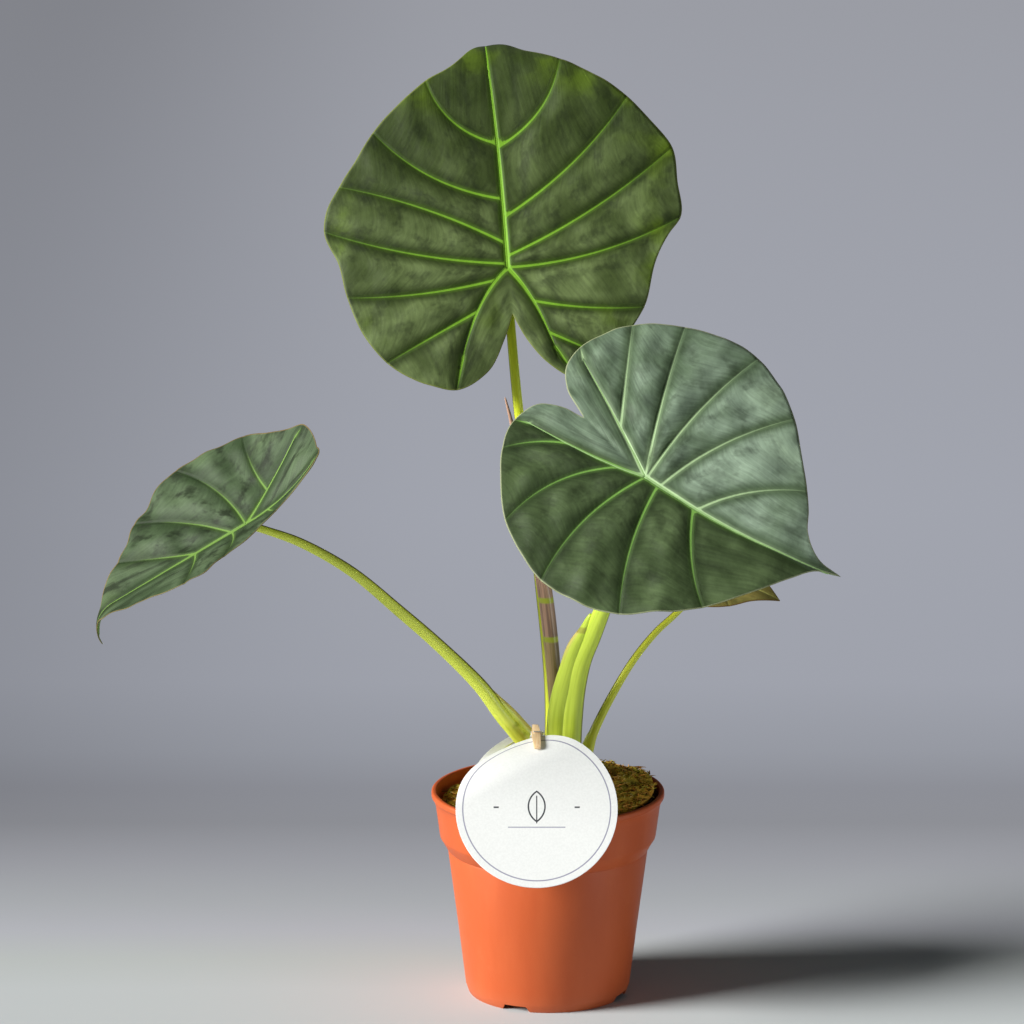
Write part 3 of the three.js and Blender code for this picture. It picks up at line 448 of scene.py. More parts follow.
strand = bmesh.new()
bmesh.ops.create_cone(
    strand,
    cap_ends=False,
    segments=3,
    radius1=STRAND_FOOT * MM,
    radius2=STRAND_TIP * MM,
    depth=STRAND_LENGTH * MM,
)
sides = [e for e in strand.edges if abs(e.verts[0].co.z - e.verts[1].co.z) > 1e-4]
bmesh.ops.subdivide_edges(strand, edges=sides, cuts=2)
bmesh.ops.translate(strand, verts=strand.verts, vec=(0, 0, STRAND_LENGTH / 2 * MM))
for vert in strand.verts:
    vert.co.x += STRAND_CURL * vert.co.z**2
strand_mesh = mesh_of("strand", strand)
pad_points = len(bm.verts)
for _ in range(STRANDS):
    reach = math.sqrt(rng.random()) * (MOSS_RADIUS - 1.2)
    way = rng.uniform(0, 2 * math.pi)
    px, py = reach * math.cos(way), reach * math.sin(way)
    lean = math.radians(rng.uniform(50, 96))
    size = rng.uniform(0.6, 1.3)
    spot = Vector((px, py, float(moss_top(px, py)) - 0.4)) * MM
    place = (
        Matrix.Translation(spot)
        @ Matrix.Rotation(rng.uniform(0, 2 * math.pi), 4, "Z")
        @ Matrix.Rotation(lean, 4, "Y")
        @ Matrix.Diagonal((size, size, size, 1))
    )
    copy = strand_mesh.copy()
    copy.transform(place)
    bm.from_mesh(copy)
    bpy.data.meshes.remove(copy)
tint = bm.verts.layers.float["tint"]
bm.verts.ensure_lookup_table()
strand_points = (len(bm.verts) - pad_points) // STRANDS
for k in range(STRANDS):
    tone = rng.random()
    for i in range(strand_points):
        bm.verts[pad_points + k * strand_points + i][tint] = tone

material, tree, shader = surface("dry_moss", Roughness=0.9, Specular_IOR_Level=0.2)
place, *_ = where(tree)
patch = mottle(tree, place, 95, 4)
fine = mottle(tree, place, 700, 3, Roughness=0.7)
mixed = plus(tree, times(tree, value_of(tree, "tint"), 0.6), times(tree, patch, 0.5))
stops = [
    (0.25, 84, 54, 20), (0.38, 200, 132, 46), (0.50, 204, 168, 60),
    (0.62, 172, 166, 62), (0.74, 236, 160, 68), (0.85, 232, 216, 128),
]
shade = ease(tree, fine, 0.5, 0.3, 0, 0.5)
colour = blend(tree, shade, tones(tree, mixed, stops), paint(52, 38, 14))
feed(tree, shader, Base_Color=colour, Normal=relief(tree, fine, 0.7, 0.0008))
made("moss_pad", bm, material, "moss")

# ---------------------------------------------------------------------------------------------
# The leaf stalks: fleshy yellow-green stems that rise from the corm. Low down, three of them
# carry the open sheath that once wrapped the next leaf, its thin margin dried to brown.


def smooth_route(route, steps):
    """Rows of [x, y, z, half-width, half-depth] along a curve through the given ones."""
    route = np.array(route, float)
    rows = []
    for k in range(steps + 1):
        p = k / steps * (len(route) - 1)
        i = min(int(p), len(route) - 2)
        s = p - i
        b, c = route[i], route[i + 1]
        a = route[i - 1] if i else 2 * b - c
        d = route[i + 2] if i + 2 < len(route) else 2 * c - b
        ab, bc, cd = (np.linalg.norm((q - o)[:3]) ** 0.5 for o, q in ((a, b), (b, c), (c, d)))
        leave = ((b - a) / ab - (c - a) / (ab + bc) + (c - b) / bc) * bc
        arrive = ((c - b) / bc - (d - b) / (bc + cd) + (d - c) / cd) * bc
        rows.append(eased(b, c, leave, arrive, s))
    return np.array(rows)


def eased(start, end, leave, arrive, q):
    """A point at share q of a curve that leaves its start and arrives at its end as given."""
    return (
        start * (2 * q**3 - 3 * q**2 + 1)
        + end * (3 * q**2 - 2 * q**3)
        + leave * (q**3 - 2 * q**2 + q)
        + arrive * (q**3 - q**2)
    )


def squared_to(ways, tangent):
    """Unit vectors as near to `ways` as they come while square to a route's tangents."""
    ways = np.array(ways, float)
    square = ways - tangent * (tangent @ ways)[:, None]
    return square / np.linalg.norm(square, axis=1)[:, None]


def tangents(route):
    tangent = np.gradient(route, axis=0)
    return tangent / np.linalg.norm(tangent, axis=1)[:, None]


def capped(points, ends):
    """Rows of points with a row at each end that closes the tube in one point."""
    first, last = (np.broadcast_to(end, points[0].shape)[None] for end in ends)
    return np.concatenate([first, points, last])


def rounded(gap, reach):
    """The share of its width that a tube has at a gap from an end rounded over `reach`."""
    return np.sqrt(np.clip(1 - (1 - np.clip(gap / reach, 0, 1)) ** 2, 0, 1)) if reach else 1


def stem(bm, route, steps, sides, depthwards=(0, 1, 0), groove=None, ends=(0, 0), **values):
    """A tube along a smooth route, closed at both ends. `groove` scales its radius by angle;
    `ends` rounds each end over so many millimetres."""
    rows = smooth_route(route, steps)
    centre = rows[:, :3]
    tangent = tangents(centre)
    depth = squared_to(depthwards, tangent)
    width = np.cross(depth, tangent)
    angle = full_turn(sides)
    along = np.concatenate([[0], np.cumsum(np.linalg.norm(np.diff(centre, axis=0), axis=1))])
    taper = rounded(along, ends[0]) * rounded(along[-1] - along, ends[1])
    scale = groove(angle) if groove else np.ones(sides + 1)
    radius = scale[None, :] * (taper * np.ones(len(rows)))[:, None]
    side, front = np.cos(angle)[None, :], np.sin(angle)[None, :]
    points = (
        centre[:, None, :]
        + width[:, None, :] * (rows[:, 3:4] * radius * side)[:, :, None]
        + depth[:, None, :] * (rows[:, 4:5] * radius * front)[:, :, None]
    )
    points = capped(points, centre[[0, -1]])
    shape = points.shape[:2]
    along = np.concatenate([[0], along, along[-1:]])[:, None]
    attributes = {"side": side, "front": front, "along": along, **values}
    attributes = {name: np.broadcast_to(value, shape) for name, value in attributes.items()}
    bmesh.ops.remove_doubles(bm, verts=sheet(bm, points, **attributes), dist=1e-6)


# Rows of [x, y, z, half-width, half-depth] in millimetres, from the corm up.
STALKS = {
    "right": [
        [8, -12, 104, 5, 4.5], [10.5, -15, 122, 5.6, 4.8], [12, -16, 149, 5.6, 4.6],
        [13.6, -17, 165, 5.4, 4.4], [17, -22, 182, 5, 4.2], [22, -27, 196, 4.7, 4],
        [26, -32, 208, 4.4, 3.8], [33, -43, 230, 3.7, 3.4], [40.6, -55, 256, 3, 3],
        [45.8, -65.5, 277, 2.5, 2.5], [47.7, -70, 289, 2.3, 2.3],
    ],
    "left": [
        [1, -13, 104, 4.4, 4], [-3.6, -14, 120, 4.8, 4.4], [-11, -16.5, 136.5, 4.7, 4.4],
        [-17.3, -19.5, 145.4, 4.5, 4.3], [-23.6, -23, 153.9, 4.2, 4.1],
        [-34.8, -28, 170.6, 3.7, 3.6], [-55, -33, 192.6, 3.2, 3.1], [-75, -38, 212, 3, 2.8],
        [-100, -44, 235, 2.6, 2.5], [-125, -48, 250.6, 2.3, 2.2], [-142, -50, 257.4, 2, 2],
        [-151, -50, 260.2, 2, 2],
    ],
    "top": [
        [4, -6, 104, 4, 4], [3.4, -1, 118, 4.4, 4.2], [2.6, 2, 133.4, 4.2, 4],
        [2.1, 4, 154, 3.8, 3.8], [0.5, 6, 175, 3.4, 3.4], [-3.6, 8, 211.5, 2.9, 2.9],
        [-8.9, 12, 258, 2.6, 2.6], [-15.2, 18, 303.8, 2.5, 2.5], [-19, 24, 344.2, 2.4, 2.4],
        [-20.4, 31, 363.6, 2.3, 2.3], [-20.6, 33, 371.5, 2.2, 2.2],
        [-20.8, 31.5, 376, 2.2, 2.2],
    ],
    "small": [
        [13, -9, 106, 2.6, 2.6], [18.4, -8, 120, 2.8, 2.6], [20.8, -7, 131, 2.7, 2.4],
        [23, -7, 139, 2.4, 2.2], [31.3, -4, 156, 2.1, 2], [43.8, 2, 176, 1.9, 1.9],
        [55.4, 8, 189.2, 1.8, 1.8], [65.4, 13, 197.4, 1.7, 1.7], [74.6, 18, 206, 1.6, 1.6],
        [80, 20, 217, 1.6, 1.6],
    ],
}
SHEATHS = {
    "right": [
        [5, -13, 104, 5, 4.4], [5, -15, 122, 5.8, 4.6], [5.2, -15, 149, 5.8, 4.2],
        [6.8, -16.4, 162, 5.4, 3.8], [10.2, -19.4, 176, 5, 3.5], [14, -24, 190, 4.4, 3.2],
        [18.4, -28, 200.5, 2.5, 2.3], [21.6, -31, 209.5, 1.2, 1.4],
    ],
    "left": [
        [3, -12, 106, 3.4, 3], [0.4, -12.6, 120, 4, 3.4], [-7.4, -15.4, 137.2, 3.8, 3.2],
        [-13.6, -18.2, 146, 3.5, 3], [-19.6, -21.6, 154.4, 3, 2.7], [-26.4, -24.6, 163, 2, 2],
        [-32.6, -27, 171, 1, 1.2],
    ],
    "small": [
        [15.4, -9, 116, 2.2, 1.8], [17.6, -7.4, 127, 2.1, 1.6], [19.8, -7.2, 135, 1.6, 1.3],
        [22.6, -6.6, 142, 0.9, 0.8],
    ],
}


def group(name, colours, amounts):
    """A node group that takes colours and amounts, and puts out a Color and a Height."""
    tree = bpy.data.node_groups.new(name, "ShaderNodeTree")
    sockets = [(label, "Color", (1, 1, 1, 1)) for label in colours]
    sockets += [(label, "Float", amount) for label, amount in amounts.items()]
    for label, kind, default in sockets:
        socket = tree.interface.new_socket(label, in_out="INPUT", socket_type="NodeSocket" + kind)
        socket.default_value = default
    for label, kind in (("Color", "Color"), ("Height", "Float")):
        tree.interface.new_socket(label, in_out="OUTPUT", socket_type="NodeSocket" + kind)
    given = tree.nodes.new("NodeGroupInput").outputs
    result = tree.nodes.new("NodeGroupOutput").inputs
    return tree, given, result


def vector(tree, x, y, z):
    return add(tree, "ShaderNodeCombineXYZ", {0: x, 1: y, 2: z}).outputs[0]


# Fine fibres that run the length of a stalk, and slow drifts of colour along it.
tree, given, result = group("stem_fibres", ("Light", "Dark"), {"Streaks": 0.5})
fibres = tree
side, front, along = (value_of(tree, name) for name in ("side", "front", "along"))
run = vector(tree, times(tree, side, 3), times(tree, front, 3), times(tree, along, 0.02))
thread = mottle(tree, run, 1.5, 1.5)
drift = mottle(tree, where(tree)[0], 45, 2)
dark = times(tree, ease(tree, thread, 0.56, 0.36), given["Streaks"])
colour = blend(tree, dark, given["Light"], given["Dark"])
colour = blend(tree, ease(tree, drift, 0.55, 0.75, 0, 0.2), colour, given["Dark"])
tree.links.new(colour, result["Color"])
tree.links.new(thread, result["Height"])


def stem_skin(name, light, dark, streaks):
    """A fleshy stem's material, and the colour of its fibres to build on."""
    material, tree, shader = surface(name, Roughness=0.38, Specular_IOR_Level=0.5)
    looks = {"Light": paint(*light), "Dark": paint(*dark), "Streaks": streaks}
    run = add(tree, "ShaderNodeGroup", looks, node_tree=fibres).outputs
    feed(tree, shader, Normal=relief(tree, run["Height"], 0.02, 0.0001))
    return material, tree, shader, run["Color"]


GROOVE_DEPTH, GROOVE_AT, GROOVE_WIDTH = 0.07, 4.4, 0.35


def stem_groove(angle):
    """The shallow channel down one side of a stalk."""
    return 1 - GROOVE_DEPTH * np.exp(-(((angle - GROOVE_AT) / GROOVE_WIDTH) ** 2))


# Each stalk's light and dark tone, the side of it with a dark line, its sheath's dried side, the
# height from which that side is dry and the height of the withered spot at the sheath's end.
# The left and top stalks' tones are painted paler than the others' as painted light, for the
# leaves' shade that falls on them.
STALK_LOOKS = {
    "right": ((204, 226, 76), (168, 194, 40), 1, -0.9, 0.180, 0.2000),
    "left": ((238, 250, 92), (212, 234, 58), 1, 1, 0.100, 0.1715),
    "top": ((240, 252, 56), (216, 236, 38), -1, 0, 0, 1),
    "small": ((214, 222, 66), (168, 172, 40), -1, 0.6, 0.100, 0.142),
}
for name, route in STALKS.items():
    light, dark, edge, dry, dry_from, top = STALK_LOOKS[name]
    bm = bmesh.new()
    stem(bm, route, steps=90, sides=28, groove=stem_groove, ends=(1, 0.6), sheath=0)
    if name in SHEATHS:
        stem(bm, SHEATHS[name], steps=60, sides=24, ends=(1, 5), sheath=1)
    bmesh.ops.recalc_face_normals(bm, faces=bm.faces)
    material, tree, shader, colour = stem_skin("stalk_skin_" + name, light, dark, 0.4)
    side, sheath, z = value_of(tree, "side"), value_of(tree, "sheath"), where(tree)[3]
    lined = ease(tree, times(tree, side, edge), 0.82, 0.97, 0, 0.85)
    lined = times(tree, minus(tree, 1, sheath), lined)
    colour = blend(tree, lined, colour, paint(84, 70, 30))
    dried = times(tree, sheath, ease(tree, times(tree, side, dry), 0.45, 0.9, 0, 0.6))
    dried = times(tree, dried, ease(tree, z, dry_from - 0.004, dry_from + 0.012))
    dried = times(tree, dried, ease(tree, z, top + 0.001, top - 0.002))
    colour = blend(tree, dried, colour, paint(226, 184, 128))
    from_top = calc(tree, "ABSOLUTE", minus(tree, z, top))
    withered = times(tree, sheath, ease(tree, from_top, 0.0022, 0.001, 0, 0.5))
    feed(tree, shader, Base_Color=blend(tree, withered, colour, paint(128, 92, 50)))
    made("stem_" + name, bm, material, "stalk_" + name)

# ---------------------------------------------------------------------------------------------
# The leaf blades: thick, velvety shields with a midrib, a rib down each back lobe and arched
# side veins. The tissue puffs up between the veins, which stand out on the underside.

# Millimetres in a leaf's own flat coordinates, its stalk's end at 0, 0 and its tip up the second.
# Down each side, rows of [where its vein leaves the midrib, edge x, edge y, arch, 1 for a vein].
LEAVES = {
    "top": {
        "hub": [-20.8, 30, 375.4], "tipwards": [-0.1, 0.504, 0.858],
        "facing": [-0.06, -0.864, 0.5], "length": 144, "half_width": 91, "lobe_length": 62,
        "fold": 0.05, "crease": 8, "droop": 6, "lobe_droop": 4, "bend_from": 100,
        "bend_radius": 30, "sweep": 1.5, "puff": 2.6, "quilt": 1.8, "vein_width": 0.62,
        "rib_radius": [2.1, 0.6],
        "lobe_ribs": {"right": [[14, -18], [21, -50]], "left": [[-18, -14], [-29, -50]]},
        "notch": [0, -25], "tip": [0, 146],
        "right": [
            [128, 7, 134, 0, 0], [112, 17, 122, 0, 0], [65, 37, 110, 7, 1],
            [52, 48, 103, 6, 0], [27, 69, 85, 5, 1], [18, 79, 71, 5, 0], [6, 89, 55, 4.5, 1],
            [3, 90, 36, 5, 0], [0, 90, 17, 6, 1], [-8, 83, 8, 4, 0], [-13, 76, -4, 3, 0],
            [-25, 67, -29, 2, 1], [-36, 58, -41, 1, 0], [-43, 47, -54, 0, 1],
            [-50, 30, -62, 0, 1], [-40, 15, -52, 0, 0], [-24, 5, -37, 0, 0],
        ],
        "left": [
            [128, -8, 129, 0, 0], [112, -17, 115, 2, 0], [67, -33, 106, 7, 1],
            [52, -45, 97, 7, 0], [37, -63, 81, 7, 1], [26, -74, 66, 3, 0],
            [13, -83, 54, -3, 1], [8, -91, 40, 1, 0], [2, -92.5, 31, 4, 1], [0, -86, 12, 3, 0],
            [-11, -83, -6, 3, 1], [-22, -77, -26, 2, 0], [-32, -66, -43, 0, 1],
            [-44, -46, -57, 0, 0], [-54, -32, -61, 0, 1], [-40, -16, -54, 0, 0],
            [-24, -5, -37, 0, 0],
        ],
    },
    "right": {
        "hub": [47.7, -70, 289.4], "tipwards": [0.839, -0.422, -0.344],
        "facing": [-0.075, -0.715, 0.695], "length": 112, "half_width": 90, "lobe_length": 82,
        "fold": 0.06, "crease": 8, "droop": 9, "lobe_droop": 7, "bend_from": 70,
        "bend_radius": 70, "sweep": 4, "puff": 2.8, "quilt": 2.8, "vein_width": 0.55,
        "rib_radius": [2.2, 0.6],
        "lobe_ribs": {"right": [[5, -24], [0, -70]], "left": [[-16, -22], [-45, -66]]},
        "notch": [-15, -46], "tip": [-6, 112],
        "right": [
            [98, -1, 100, 0, 0], [80, 9, 92, 0, 0], [54, 25, 81, 2, 0], [30, 45, 64, 3, 1],
            [20, 59, 46, 5, 0], [8, 69, 30, 4, 1], [3, 76, 9, 5, 0], [0, 75, -14, 6, 1],
            [-10, 66, -33, 6, 0], [-20, 55, -48, 7, 1], [-36, 36, -63, 4, 0],
            [-50, 19, -73, 2, 1], [-69, 2, -77, 0, 1], [-56, -12, -70, 0, 0],
            [-40, -15, -58, 0, 0],
        ],
        "left": [
            [98, -7, 99, 0, 0], [78, -17, 86, 1, 0], [54, -28, 80, 3, 0], [32, -37, 74, 5, 1],
            [20, -56, 59, 6, 0], [9, -71, 46, 4.5, 1], [4, -84, 28, 4, 0],
            [1, -90.5, 11, 3, 1], [0, -90, -12, 3, 0], [0, -87, -31, 1, 1],
            [-20, -82, -42, 0, 0], [-38, -75, -55, 0, 1], [-58, -63, -65, 0, 0],
            [-79, -51, -71, 0, 1], [-66, -38, -71, 0, 0], [-48, -26, -63, 0, 0],
        ],
    },
    "left": {
        "hub": [-152, -50, 260.4], "tipwards": [-0.85, 0.02, -0.52],
        "facing": [-0.48, -0.3, 0.805], "length": 102, "half_width": 55, "lobe_length": 50,
        "fold": 0.32, "crease": 5, "droop": 0, "lobe_droop": -14, "bend_from": 79,
        "bend_radius": 17, "sweep": 0, "puff": 2, "quilt": 2.8, "vein_width": 0.42,
        "rib_radius": [1.8, 0.6],
        "lobe_ribs": {"right": [[15, -18], [23, -42]], "left": [[-1, -16], [-3, -46]]},
        "notch": [3, -52], "tip": [0, 106],
        "right": [
            [90, 2.5, 92, 0, 0], [84, 4.5, 87, 0, 0], [74, 10.4, 82.7, 0, 0],
            [58, 17.7, 76.5, 0, 0], [29, 23, 70, 0, 1], [18, 31, 62.3, 1.5, 0],
            [8, 39.6, 55, 3.3, 1], [5, 44.8, 47.3, 4, 0], [2, 51.3, 37.7, 4.5, 0],
            [0, 56.5, 25, 4.7, 1], [-8, 56, 8, 2, 0], [-15, 54.6, -4.7, 0, 0],
            [-21, 51.9, -14.8, -2, 1], [-29, 46.5, -22.5, 0, 0], [-36, 38.8, -30.9, 0, 0],
            [-42, 31.6, -40, 0, 0], [-49, 23.1, -49.5, 0, 1], [-43, 17.4, -51.6, 0, 0],
            [-24, 9.4, -52.5, 0, 0],
        ],
        "left": [
            [90, -2, 91, 0, 0], [80, -11, 84.5, 0, 0], [70, -15.5, 78, 0, 0],
            [56, -23.3, 66.3, 0, 0], [42, -37, 47.5, 1, 0], [30, -43.5, 33.5, 1, 1],
            [19, -44, 22, 1, 0], [8, -35.5, 10.5, 2, 1], [0, -28, -3, 0, 0],
            [-8, -20, -10.4, 0, 0], [-17, -13, -19.2, 0, 1], [-28, -9.5, -29, 0, 0],
            [-38, -7.5, -39, 0, 0], [-46, -6.5, -48, 0, 0], [-50, -3.5, -52.5, 0, 1],
            [-34, 0, -53, 0, 0],
        ],
    },
    "small": {
        "hub": [80.2, 20, 217.4], "tipwards": [0.93, -0.15, -0.26],
        "facing": [0.15, -0.62, 0.77], "length": 44, "half_width": 26, "lobe_length": 20,
        "fold": 0.2, "crease": 3, "droop": 3, "lobe_droop": 2, "bend_from": 25,
        "bend_radius": 40, "sweep": 0, "puff": 1, "quilt": 0.8, "vein_width": 0.35,
        "rib_radius": [1.2, 0.5],
        "lobe_ribs": {"right": [[6, -6], [9, -15]], "left": [[-6, -6], [-9, -15]]},
        "notch": [0, -8], "tip": [0, 42],
        "right": [
            [26, 9, 28, 0, 0], [12, 17, 18, 1, 1], [0, 23, 0, 1, 1], [-15, 12, -20, 0, 1],
            [-8, 4, -14, 0, 0],
        ],
        "left": [
            [26, -9, 28, 0, 0], [12, -17, 18, 1, 1], [0, -23, 0, 1, 1], [-15, -12, -20, 0, 1],
            [-8, -4, -14, 0, 0],
        ],
    },
}
TISSUE = 0.7
RIB_RELIEF = 0.9
RIB_CREST = 0.42
COLUMNS, VEIN_POINTS, RIB_POINTS = 30, 25, 21
LOBE_RIB = 0.75
# How wide the pattern draws each rib, as a share of its radius, and how much of that width
# the midrib, a lobe's rib and a vein have lost at their ends.
MIDRIB_DRAWN, LOBE_DRAWN = 0.7, 0.5
MIDRIB_TAPER, LOBE_TAPER, VEIN_TAPER = 0.8, 0.7, 0.72
# The rows' length that puffs and quilts in full, the quilting's pitch, and how far from the
# rib it starts.
PUFF_REACH, QUILT_REACH, QUILT_PITCH, QUILT_START = 60, 40, 0.075, 12


def laid(leaf, x, y, up):
    """Points of a blade, `up` above its middle surface, from flat coordinates in millimetres."""
    tipwards = np.array(leaf["tipwards"]) / np.linalg.norm(leaf["tipwards"])
    facing = np.array(leaf["facing"]) - tipwards * (tipwards @ leaf["facing"])
    facing /= np.linalg.norm(facing)
    rightwards = np.cross(tipwards, facing)
    height = up + leaf["fold"] * (np.hypot(x, leaf["crease"]) - leaf["crease"])
    height = height - leaf["droop"] * (x / leaf["half_width"]) ** 2
    height = height - leaf["lobe_droop"] * (np.minimum(0, y) / leaf["lobe_length"]) ** 2
    turn = np.maximum(0, y - leaf["bend_from"]) / leaf["bend_radius"]
    past = y > leaf["bend_from"]
    swung = leaf["bend_radius"] + height
    along = np.where(past, leaf["bend_from"] + swung * np.sin(turn), y)
    height = np.where(past, swung * np.cos(turn) - leaf["bend_radius"], height)
    across = x + leaf["sweep"] * np.sin(math.pi * np.maximum(0, y) / leaf["length"])
    return (
        np.array(leaf["hub"])
        + across[..., None] * rightwards
        + along[..., None] * tipwards
        + height[..., None] * facing
    )


def margin(edge, i, q):
    """The leaf's outline: a smooth curve between its edge points i and i + 1."""
    span = [np.linalg.norm(b - a) for a, b in zip(edge, edge[1:])]
    slope = [(b - a) / s for a, b, s in zip(edge, edge[1:], span)]

    def tangent(k):
        if k == 0:
            return slope[0]
        if k == len(edge) - 1:
            return slope[-1]
        return (slope[k - 1] * span[k] + slope[k] * span[k - 1]) / (span[k - 1] + span[k])

    return eased(edge[i], edge[i + 1], tangent(i) * span[i], tangent(i + 1) * span[i], q)


def along_lobe(leaf, side, t):
    (cx, cy), (ex, ey) = leaf["lobe_ribs"][side]
    return np.array([2 * t * (1 - t) * cx + t * t * ex, 2 * t * (1 - t) * cy + t * t * ey])


def up_midrib(leaf, distance):
    """A point up the midrib, which bends sideways into the drip tip."""
    x, y = leaf["tip"]
    return np.array([x * (max(0, distance) / y) ** 8, distance])


def rib_point(leaf, side, distance):
    """A point up the midrib, or back along one lobe's rib where the distance is negative."""
    if distance >= 0:
        return up_midrib(leaf, distance)
    (cx, cy), (ex, ey) = leaf["lobe_ribs"][side]
    length = (math.hypot(cx, cy) + math.hypot(ex - cx, ey - cy) + math.hypot(ex, ey)) / 2
    return along_lobe(leaf, side, min(1, -distance / length))


def side_rows(leaf, side, fineness):
    """Rows from the midrib to the margin down one side of a leaf: [rib, edge, arch, phase]."""
    start = [leaf["length"] - 6, *leaf["tip"], 0, 1]
    given = np.array([start, *leaf[side], [0, *leaf["notch"], 0, 1]], float)
    edge = given[:, 1:3]
    veins = [i for i in range(len(given)) if given[i, 4]]
    rows = []
    for first, last in zip(veins, veins[1:]):
        count = fineness * (last - first)
        for k in range(count + (last == len(given) - 1)):
            phase = k / count
            p = first + phase * (last - first)
            i = min(int(p), len(given) - 2)
            q = p - i
            distance, arch = given[i, [0, 3]] * (1 - q) + given[i + 1, [0, 3]] * q
            bow = arch if side == "right" else -arch
            rows.append((rib_point(leaf, side, distance), margin(edge, i, q), bow, phase))
    return rows


def row_points(row, shares):
    """Flat points along a row, at shares of the way from its rib to the margin."""
    rib, edge, bow, _ = row
    reach = np.linalg.norm(edge - rib)
    way = (edge - rib) / reach
    d = 0.3 + (reach - 0.3) * shares
    arched = 4 * bow * shares * (1 - shares)
    return rib + np.outer(d, way) + np.outer(arched, [way[1], -way[0]]), d, reach


def nearest(points, lines):
    """How far each point lies outside the nearest line's half-width, and its share along it."""
    gap = np.full(len(points), 1e6)
    reach = np.zeros(len(points))
    every = np.arange(len(points))
    for line in lines:
        a, way = line[:-1], np.diff(line[:, :2], axis=0)
        share = ((points[:, None] - a[None, :, :2]) * way).sum(2) / (way**2).sum(1)
        share = np.clip(share, 0, 1)
        foot = a[None, :, :2] + share[..., None] * way
        half = a[:, 2] + share * np.diff(line[:, 2])
        away = np.linalg.norm(points[:, None] - foot, axis=2) - half
        best = away.argmin(axis=1)
        away = away[every, best]
        along = (best + share[every, best]) / (len(line) - 1)
        reach = np.where(away < gap, along, reach)
        gap = np.minimum(gap, away)
    return gap, reach


def raised_rib(bm, leaf, path, radii):
    """A fleshy rib raised along the upper side."""
    rows = []
    for (x, y), radius in zip(path, radii):
        centre = laid(leaf, np.array(x), np.array(y), RIB_CREST - 0.9 * radius)
        rows.append([*centre, radius, 0.9 * radius])
    looks = {"vein": -1, "rim": 9, "wing": 0, "spine": 0.3}
    stem(bm, rows, steps=60, sides=14, depthwards=leaf["facing"], ends=(0.8, 0.8), **looks)


def blade_mesh(leaf, fineness):
    right = side_rows(leaf, "right", fineness)
    left = side_rows(leaf, "left", fineness)[::-1]
    ring = [*right, *left[1:]]
    ring[-1] = ring[0]
    t = np.linspace(0, 1, COLUMNS)
    shares = 0.55 * t + 0.45 * (1 - np.cos(math.pi * t)) / 2
    flat, d, reach = (np.array(part) for part in zip(*(row_points(row, shares) for row in ring)))
    phase = np.array([row[3] for row in ring])
    thick, thin = leaf["rib_radius"]
    f = np.linspace(0, 1, VEIN_POINTS)
    veins = [row for row in (*right[1:], *left[:-1]) if row[3] == 0]
    width = leaf["vein_width"] * (1 - VEIN_TAPER * f)
    lines = [np.column_stack([row_points(row, f)[0], width]) for row in veins]
    end = leaf["length"] - 3
    spine = np.array([up_midrib(leaf, end * s) for s in f])
    lines.append(np.column_stack([spine, thick * MIDRIB_DRAWN * (1 - MIDRIB_TAPER * f)]))
    for side in ("right", "left"):
        lobe = np.array([along_lobe(leaf, side, s) for s in f])
        lines.append(np.column_stack([lobe, thick * LOBE_DRAWN * (1 - LOBE_TAPER * f)]))
    every = flat.reshape(-1, 2)
    vein, vein_share = (a.reshape(flat.shape[:2]) for a in nearest(every, lines))
    outline = np.column_stack([flat[:, -1], np.zeros(len(flat))])
    rim = nearest(every, [outline])[0].reshape(flat.shape[:2])

    # The tissue's puffs and quilting between the veins, and its ridges under them.
    f = shares[None, :]
    between = np.sin(math.pi * phase)[:, None]
    swell = leaf["puff"] * np.minimum(1, reach / PUFF_REACH)[:, None] * between
    lift = swell * (3.2 * f * (1 - f) + 0.35 * f * f)
    at = [[(x, y, leaf["length"]) for x, y in row] for row in flat * QUILT_PITCH]
    pucker = np.array([[noise.noise(spot) for spot in row] for row in at])
    amount = leaf["quilt"] * np.minimum(1, reach / QUILT_REACH)[:, None] * between
    lift = lift + amount * pucker * np.minimum(1, d / QUILT_START)
    half = TISSUE / 2 * (1 - 0.6 * f**14)
    ridge = RIB_RELIEF * (1 - 0.85 * f) * np.exp(-np.maximum(0, vein) ** 2 / 0.8)
    upper = laid(leaf, flat[..., 0], flat[..., 1], lift + half)
    lower = laid(leaf, flat[..., 0], flat[..., 1], lift - half - ridge)

    def both(value, other=None):
        value = np.broadcast_to(value, flat.shape[:2] + value.shape[2:])
        other = value if other is None else other
        return np.concatenate([value, other[:, ::-1], value[:, :1]], axis=1)

    bm = bmesh.new()
    verts = sheet(
        bm,
        both(upper, lower),
        vein=both(vein),
        vein_share=both(vein_share),
        rim=both(rim),
        reach=both(d),
        phase=both(phase[:, None]),
        under=both(np.zeros_like(d), np.ones_like(d)),
        wing=both(flat[..., 0]),
        spine=both(flat[..., 1] / leaf["length"]),
    )
    closed(bm, verts)
    steps = np.linspace(0, 1, RIB_POINTS)
    end = leaf["length"] - 5
    spine = [up_midrib(leaf, -2 + (end + 2) * s) for s in steps]
    raised_rib(bm, leaf, spine, thick + (thin - thick) * steps)
    thick *= LOBE_RIB
    for side in ("right", "left"):
        past = 1 + 1.2 / np.linalg.norm(leaf["lobe_ribs"][side][1])
        lobe = [along_lobe(leaf, side, s) * past for s in steps]
        raised_rib(bm, leaf, lobe, thick + (thin - thick) * steps)
    return bm


def tinted(tree, colour, tint):
    return blend(tree, 1.0, colour, tint, "MULTIPLY")
